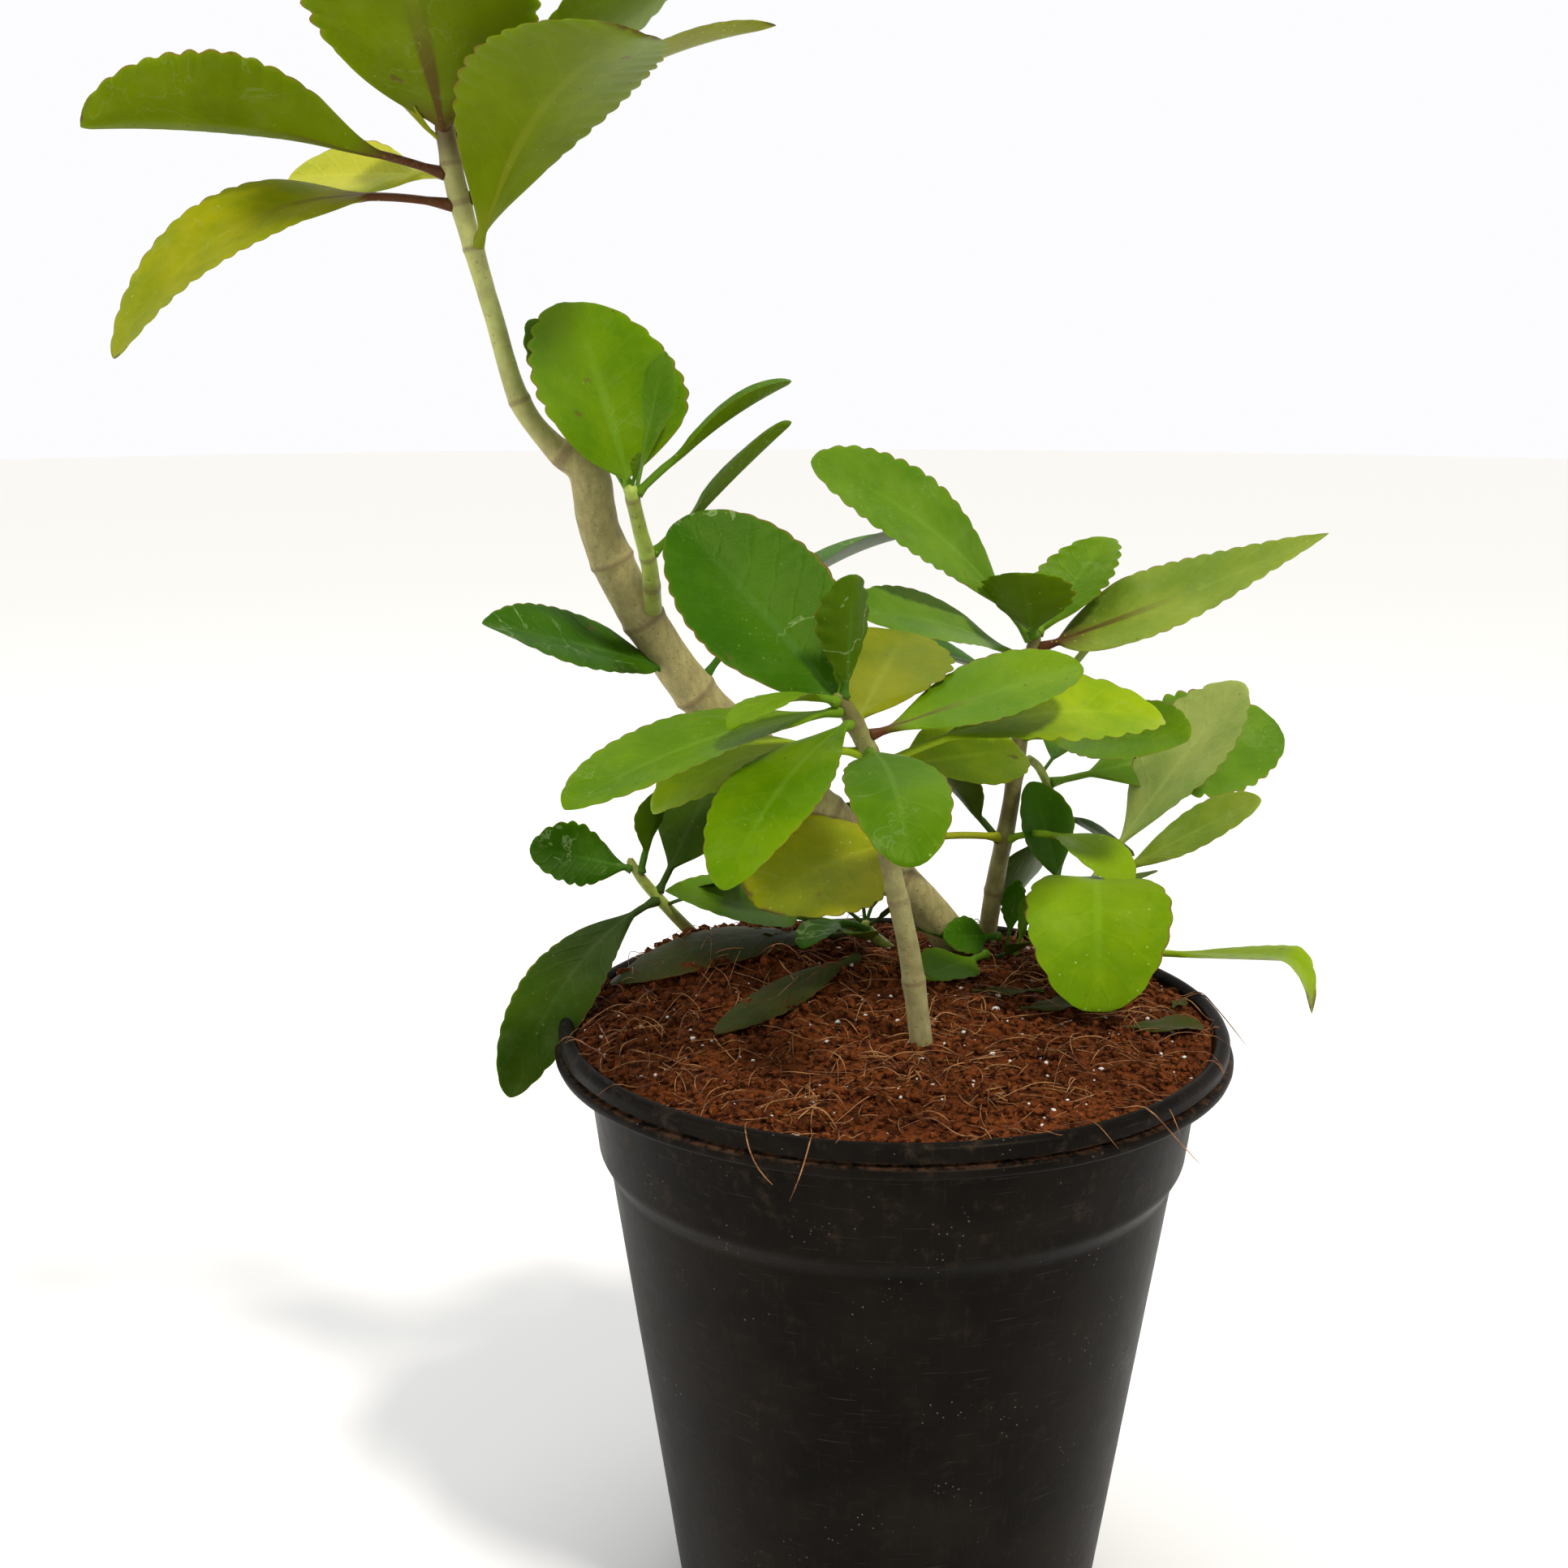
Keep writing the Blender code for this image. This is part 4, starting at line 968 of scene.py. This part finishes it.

# %% [markdown]
# ## The leaves, one row each
#
# A row gives the leaf's name, its stem and the height at which it leaves it, azimuth (0 is right, 90
# is away from the viewer), rise, length and width in millimetres, and then what is its own: its tone,
# which carries painted light or shade as well as the leaf's colour, and its bends. The rows go from the
# top of the plant to the soil.

# %% Leaf rows
UP = dict(keel=1.2, tooth=0.7, flush=True)
LEAVES = [
    ("top_leaf_front", "main_stem", 436, 268, 39, 86, 62, dict(UP, tone="olive", petiole=0.0, widest=0.48, keel=2.4, wave=0.8, tooth=1.2)),
    ("top_leaf_left", "main_stem", 425, 196, 6, 95, 35, dict(UP, tone="olive", arch=0.05, fold=35, roll=30, petiole=0.16, tooth=1.2, burn=0.05)),
    ("top_leaf_low_left", "main_stem", 417, 199, -24, 101, 33, dict(UP, tone="gold", arch=0.17, roll=-28, petiole=0.2, widest=0.46, tooth=0.8, burn=0.04)),
    ("top_leaf_back", "main_stem", 424, 160, 0, 52, 25, dict(tone="pale_gold", roll=-42, petiole=0.12, widest=0.55, tip=0.5)),
    ("top_leaf_right_front", "main_stem", 405, 311, 31, 92, 49, dict(keel=1.2, tone="olive", arch=0.13, roll=-8, petiole=0.02, widest=0.58, tooth=0.9, burn=0.07)),
    ("top_leaf_right_back", "main_stem", 434, 30, 34, 92, 40, dict(UP, tone="leaf", roll=-40, petiole=0.1)),
    ("top_leaf_right", "main_stem", 416, 9, 29, 99, 30, dict(UP, tone="gold", arch=0.09, tooth=0.8, burn=0.05, tip=0.8)),
    ("round_leaf", "middle_shoot", 340, 137, 66, 56, 57, dict(tone="leaf", petiole=0.06, widest=0.48, tooth=1.1, tip=0.48)),
    ("narrow_leaf_high", "middle_shoot", 339, 10, 35, 54, 17, dict(tone="meadow", arch=0.04, fold=25, tooth=0.3)),
    ("narrow_leaf_low", "middle_shoot", 321, 3, 43, 55, 18, dict(tone="meadow", fold=25)),
    ("scratched_leaf", "main_stem", 288, 222, 17, 68, 30, dict(tone="shaded_moss", roll=-32, petiole=0.0, widest=0.5, tooth=0.5, tip=0.75)),
    ("big_leaf", "front_stem", 286, 159, 45, 67, 48, dict(tone="shaded_moss", petiole=0.0, widest=0.5, tooth=0.5, roll=-34, burn=0.025, tip=0.5)),
    ("upright_leaf", "front_stem", 287, 292, 80, 35, 16, dict(tone="shaded_moss", fold=35, petiole=0.06, tooth=0.7)),
    ("long_left_leaf", "front_stem", 285, 210, -12, 84, 33, dict(tone="leaf", arch=0.05, petiole=0.04, tooth=0.6, roll=-8)),
    ("young_leaf", "front_stem", 288, 231, -1, 45, 13, dict(tone="leaf", arch=0.1, petiole=0.1)),
    ("yellow_leaf_left", "front_stem", 272, 194, -13, 61, 26, dict(tone="sun", arch=0.12, petiole=0.14, roll=-15, tooth=0.7)),
    ("bright_front_leaf", "front_stem", 281, 240, -25, 73, 29, dict(tone="leaf", arch=0.08, petiole=0.0, tooth=0.35, widest=0.58)),
    ("small_round_leaf", "front_stem", 272, 280, -21, 54, 28, dict(tone="meadow", arch=0.15, petiole=0.03, tooth=0.4, tip=0.45)),
    ("brown_edged_leaf", "right_stem", 225, 216, -4, 98, 50, dict(tone="gold", arch=0.08, widest=0.66, petiole=0.3, roll=-22, tooth=0.7, burn=0.05)),
    ("right_leaf_top", "front_stem", 276, 11, 16, 64, 29, dict(tone="leaf", roll=24, petiole=0.06, tooth=0.4, flush=True)),
    ("torn_leaf", "front_stem", 268, 14, 6, 85, 34, dict(tone="sun", arch=0.08, roll=24, petiole=0.2, tooth=1.3, pitch=6.5)),
    ("right_leaf_low", "right_stem", 260, 315, 7, 62, 32, dict(tone="leaf", roll=25, petiole=0.12)),
    ("olive_leaf_up", "front_stem", 280, 68, 25, 46, 38, dict(tone="olive", roll=10, petiole=0.03, tooth=0.9)),
    ("olive_leaf_low", "front_stem", 266, 39, -2, 56, 30, dict(tone="sun", roll=30, petiole=0.1)),
    ("right_crown_left", "right_stem", 291, 197, 38, 91, 33, dict(tone="jade", arch=0.07, roll=-50, tooth=0.9, petiole=0.1)),
    ("right_crown_young", "right_stem", 292, 38, 42, 42, 33, dict(tone="leaf", petiole=0.04, widest=0.5, tooth=1.1, pitch=4.0)),
    ("right_crown_small", "right_stem", 292, 252, 44, 32, 29, dict(tone="meadow", petiole=0.06, tooth=0.9, pitch=4.0)),
    ("right_crown_right", "right_stem", 288, 345, 24, 93, 32, dict(tone="sage", arch=-0.02, roll=32, tooth=0.7, petiole=0.07, widest=0.36, tip=0.9, burn=0.05, flush=True)),
    # dark_leaf_back and dark_leaf_middle get a deep green tone as painted shade.
    ("dark_leaf_back", "main_stem", 278, 21, 31, 84, 40, dict(tone="shaded_moss", arch=0.1, roll=-10)),
    ("right_stem_left_leaf", "right_stem", 284, 214, 17, 70, 30, dict(tone="jade", arch=0.05, roll=-28, petiole=0.12)),
    ("dark_leaf_middle", "right_stem", 278, 160, 12, 49, 22, dict(tone="shaded_moss")),
    ("pale_leaf", "low_right_shoot", 200, 16, 51, 95, 37, dict(tone="bloom", petiole=0.3, tooth=0.9, roll=15)),
    ("broad_leaf_right", "side_twig", 240, 15, 9, 84, 42, dict(tone="jade", roll=45, tooth=0.9, petiole=0.14)),
    ("spotted_leaf", "low_right_shoot", 212, 345, 32, 60, 20, dict(tone="sage", roll=30)),
    ("hanging_leaf", "right_stem", 225, 309, -6, 53, 22, dict(tone="lime", arch=0.15, petiole=0.3)),
    ("shaded_leaf_left", "right_stem", 224, 216, 46, 50, 24, dict(tone="shaded_forest")),
    ("shaded_leaf_right", "side_twig", 229, 136, -63, 38, 30, dict(tone="shaded_forest")),
    ("disc_leaf", "low_right_shoot", 213, 264, -21, 60, 43, dict(tone="lime", arch=0.34, widest=0.54, tip=0.42, tooth=0.6)),
    ("bent_leaf", "low_right_shoot", 190, 326, 8, 98, 19, dict(tone="sun", petiole=0.4, drop=17, drop_from=0.80, tooth=0.5, burn=0.1, tip=0.85)),
    ("left_shoot_leaf", "left_shoot", 217, 195, 15, 34, 24, dict(tone="shaded_moss", roll=-45, petiole=0.02, tooth=0.9, pitch=4.0)),
    ("left_shoot_upright", "left_shoot", 215, 325, 74, 30, 15, dict(tone="shaded_moss")),
    ("overhanging_leaf", "left_shoot", 206, 240, -27, 89, 25, dict(tone="shaded_forest", arch=0.12, roll=-14, petiole=0.1)),
    ("left_shoot_inner", "left_shoot", 207, 18, 62, 50, 36, dict(tone="shaded_forest", petiole=0.15, roll=35)),
    ("pointed_low_leaf", "seedling", 194, 205, 17, 73, 28, dict(tone="jade", petiole=0.35, widest=0.4, tip=0.85, roll=-22)),
    ("seedling_leaf", "seedling", 194, 231, 3, 34, 14, dict(tone="shaded_moss", arch=0.15, petiole=0.4)),
]
TONE_SLOTS = {
    "olive": "leaf_yellow", "gold": "leaf_yellow", "pale_gold": "leaf_grey", "leaf": "leaf_fresh",
    "meadow": "leaf_fresh", "lime": "leaf_fresh", "sun": "leaf_yellow", "shaded_moss": "leaf_deep",
    "shaded_forest": "leaf_deep", "jade": "leaf_grey", "sage": "leaf_grey", "bloom": "leaf_grey", "litter": "leaf_deep",
}
print("leaves on stems:", len(LEAVES))


# %% Growing the leaves
def stem_place(stem, height):
    """Centre, radius and direction of a stem where it is nearest a height."""
    line = stem_line(stem)
    index = int(np.argmin(abs(line[:, 2] - height)))
    index = min(max(index, 1), len(line) - 2)
    ahead = Vector(line[index + 1][:3] - line[index - 1][:3]).normalized()
    return Vector(line[index][:3]), line[index][3], ahead


def grow(name, start, azimuth, rise, length, width, look, nodes):
    look = dict(look, seed=(len(name) * 1.7 + length * 0.31 + azimuth * 0.05) % 6.28)
    points, faces, blade, marks, burnt = leaf_skin(start, azimuth, rise, length, width, look)
    finish = leaf_finish_for(look["tone"], look.get("flush", False))
    kept = dict(blade=blade, marks=marks, burnt=burnt)
    return piece(name + "_blade", points, faces, finish, TONE_SLOTS[look["tone"]], nodes, **kept)


for name, stem, height, azimuth, rise, length, width, look in LEAVES:
    centre, radius, ahead = stem_place(stem, height)
    along = leaf_axes(azimuth, rise)[0]
    away = (along - ahead * along.dot(ahead)).normalized()
    start = centre + away * radius * 0.7
    grow(name, start, azimuth, rise, length - radius * 0.7 * along.dot(away), width, look, [name])
print("leaves grown:", len(LEAVES))

# %% [markdown]
# ### Leaves on the soil
#
# Two leaves have dropped and lie flat, dark and half covered with peat, and two small ones are rooted
# by the right stem. A fallen leaf uses the same skin, but each of its points is set on the peat.

# %% Fallen and rooted leaves
FALLEN = [
    ("fallen_leaf_long", (-9, 33), 234, 72, 16),
    ("fallen_leaf_broad", (-12, 55), 207, 82, 30),
]
for name, (x, y), azimuth, length, width in FALLEN:
    look = dict(tone="litter", petiole=0.06, fold=0, widest=0.55, flat=peat_height, wave=0.3, keel=0.3)
    grow(name, Vector((x, y, 0.0)), azimuth, 0, length, width, look, [name])
ROOTED = [
    ("rooted_leaf_upper", (38, 56, 191), 208, 8, 22, 14, dict(tone="shaded_moss", roll=-50, widest=0.5)),
    ("rooted_leaf_lower", (33, 47, 188), 231, 2, 36, 20, dict(tone="meadow", roll=-15, widest=0.5, tooth=0.6)),
]
for name, place, azimuth, rise, length, width, look in ROOTED:
    grow(name, Vector(place), azimuth, rise, length, width, look, [name])
print("leaves on the soil:", len(FALLEN) + len(ROOTED))

# %% [markdown]
# ### Buds, plantlets and bits
#
# A kalanchoe drops plantlets that root where they fall, and every crown has a pair of very small new
# leaves. They are too small for the CAD model, but they fill the gaps as the real ones do. Each is
# the same leaf skin at a small size.

# %% Small leaves
SMALL = [
    ("top_bud_left", "main_stem", 430, 196, 44, 25, 15, dict(tone="gold", tooth=1.0, pitch=2.4)),
    ("top_bud_right", "main_stem", 442, 20, 66, 26, 12, dict(tone="leaf", tooth=0.6, pitch=2.4)),
    ("middle_bud", "middle_shoot", 341, 330, 72, 11, 5, dict(tone="shaded_moss")),
    ("leaf_behind_round", "middle_shoot", 337, 158, 58, 58, 20, dict(tone="jade", roll=-30, tooth=0.7)),
    ("leaf_beside_round", "middle_shoot", 337, 68, 62, 46, 14, dict(tone="jade", tip=0.8)),
    ("front_bud", "front_stem", 288, 60, 66, 12, 6, dict(tone="leaf")),
    ("right_crown_bud", "right_stem", 293, 300, 75, 10, 6, dict(tone="leaf")),
    ("spike_leaf", "right_stem", 262, 24, 44, 38, 6, dict(tone="sage", tip=0.9, petiole=0.5)),
    ("sliver_leaf", "low_right_shoot", 208, 12, 14, 28, 6, dict(tone="sage", petiole=0.3)),
    ("twig_leaf", "side_twig", 232, 350, -30, 30, 14, dict(tone="shaded_forest", petiole=0.1)),
    ("twig_leaf_back", "side_twig", 244, 60, 20, 40, 20, dict(tone="shaded_moss")),
    ("left_shoot_low", "left_shoot", 203, 330, 25, 34, 18, dict(tone="shaded_forest", petiole=0.15)),
    ("seedling_back", "seedling", 195, 60, 50, 26, 12, dict(tone="shaded_moss")),
    # The two dark seedling leaves are painted shade: leaves in the shadow behind the seedling, given the darkest tone.
    ("seedling_dark_left", "seedling", 195, 165, 36, 38, 22, dict(tone="shaded_forest")),
    ("seedling_dark_tall", "seedling", 195, 100, 58, 42, 26, dict(tone="shaded_forest")),
    ("leaf_by_right_stem", "low_right_shoot", 204, 150, 70, 42, 24, dict(tone="shaded_moss", roll=-20)),
    ("seedling_right", "seedling", 194, 330, 40, 24, 13, dict(tone="shaded_forest")),
]
for name, stem, height, azimuth, rise, length, width, look in SMALL:
    look = dict(dict(stalk=0.6, thick=0.6, keel=0.4), **look)
    grow(name, stem_place(stem, height)[0], azimuth, rise, length, width, look, ())
PLANTLETS = [
    ((40, 55, 186), 60, 68, 24, 9), ((43, 52, 186), 30, 75, 20, 8), ((37, 50, 186), 300, 30, 20, 12),
    ((30, 56, 186), 190, 25, 22, 13), ((-2, 60, 189), 250, 20, 30, 14), ((24, 45, 186), 210, 12, 16, 9),
]
for number, (place, azimuth, rise, length, width) in enumerate(PLANTLETS):
    look = dict(tone=("shaded_moss", "meadow", "shaded_forest")[number % 3], petiole=0.25, stalk=0.6, thick=0.6, tooth=0.5, pitch=2.6)
    grow(f"plantlet_{number}", Vector(place), azimuth, rise, length, width, look, ())
BITS = [((25, 11), 2, 22, 6), ((38, -4), 20, 23, 12), ((66, -17), 12, 25, 13), ((84, 2), 60, 10, 5), ((-30, 40), 150, 14, 7)]
for number, ((x, y), azimuth, length, width) in enumerate(BITS):
    look = dict(tone="litter", petiole=0.1, fold=8, flat=peat_height, wave=0.8, keel=0.2, thick=0.4, stalk=0.4)
    grow(f"leaf_bit_{number}", Vector((x, y, 0.0)), azimuth, 0, length, width, look, ())
print("small leaves:", len(SMALL) + len(PLANTLETS) + len(BITS))
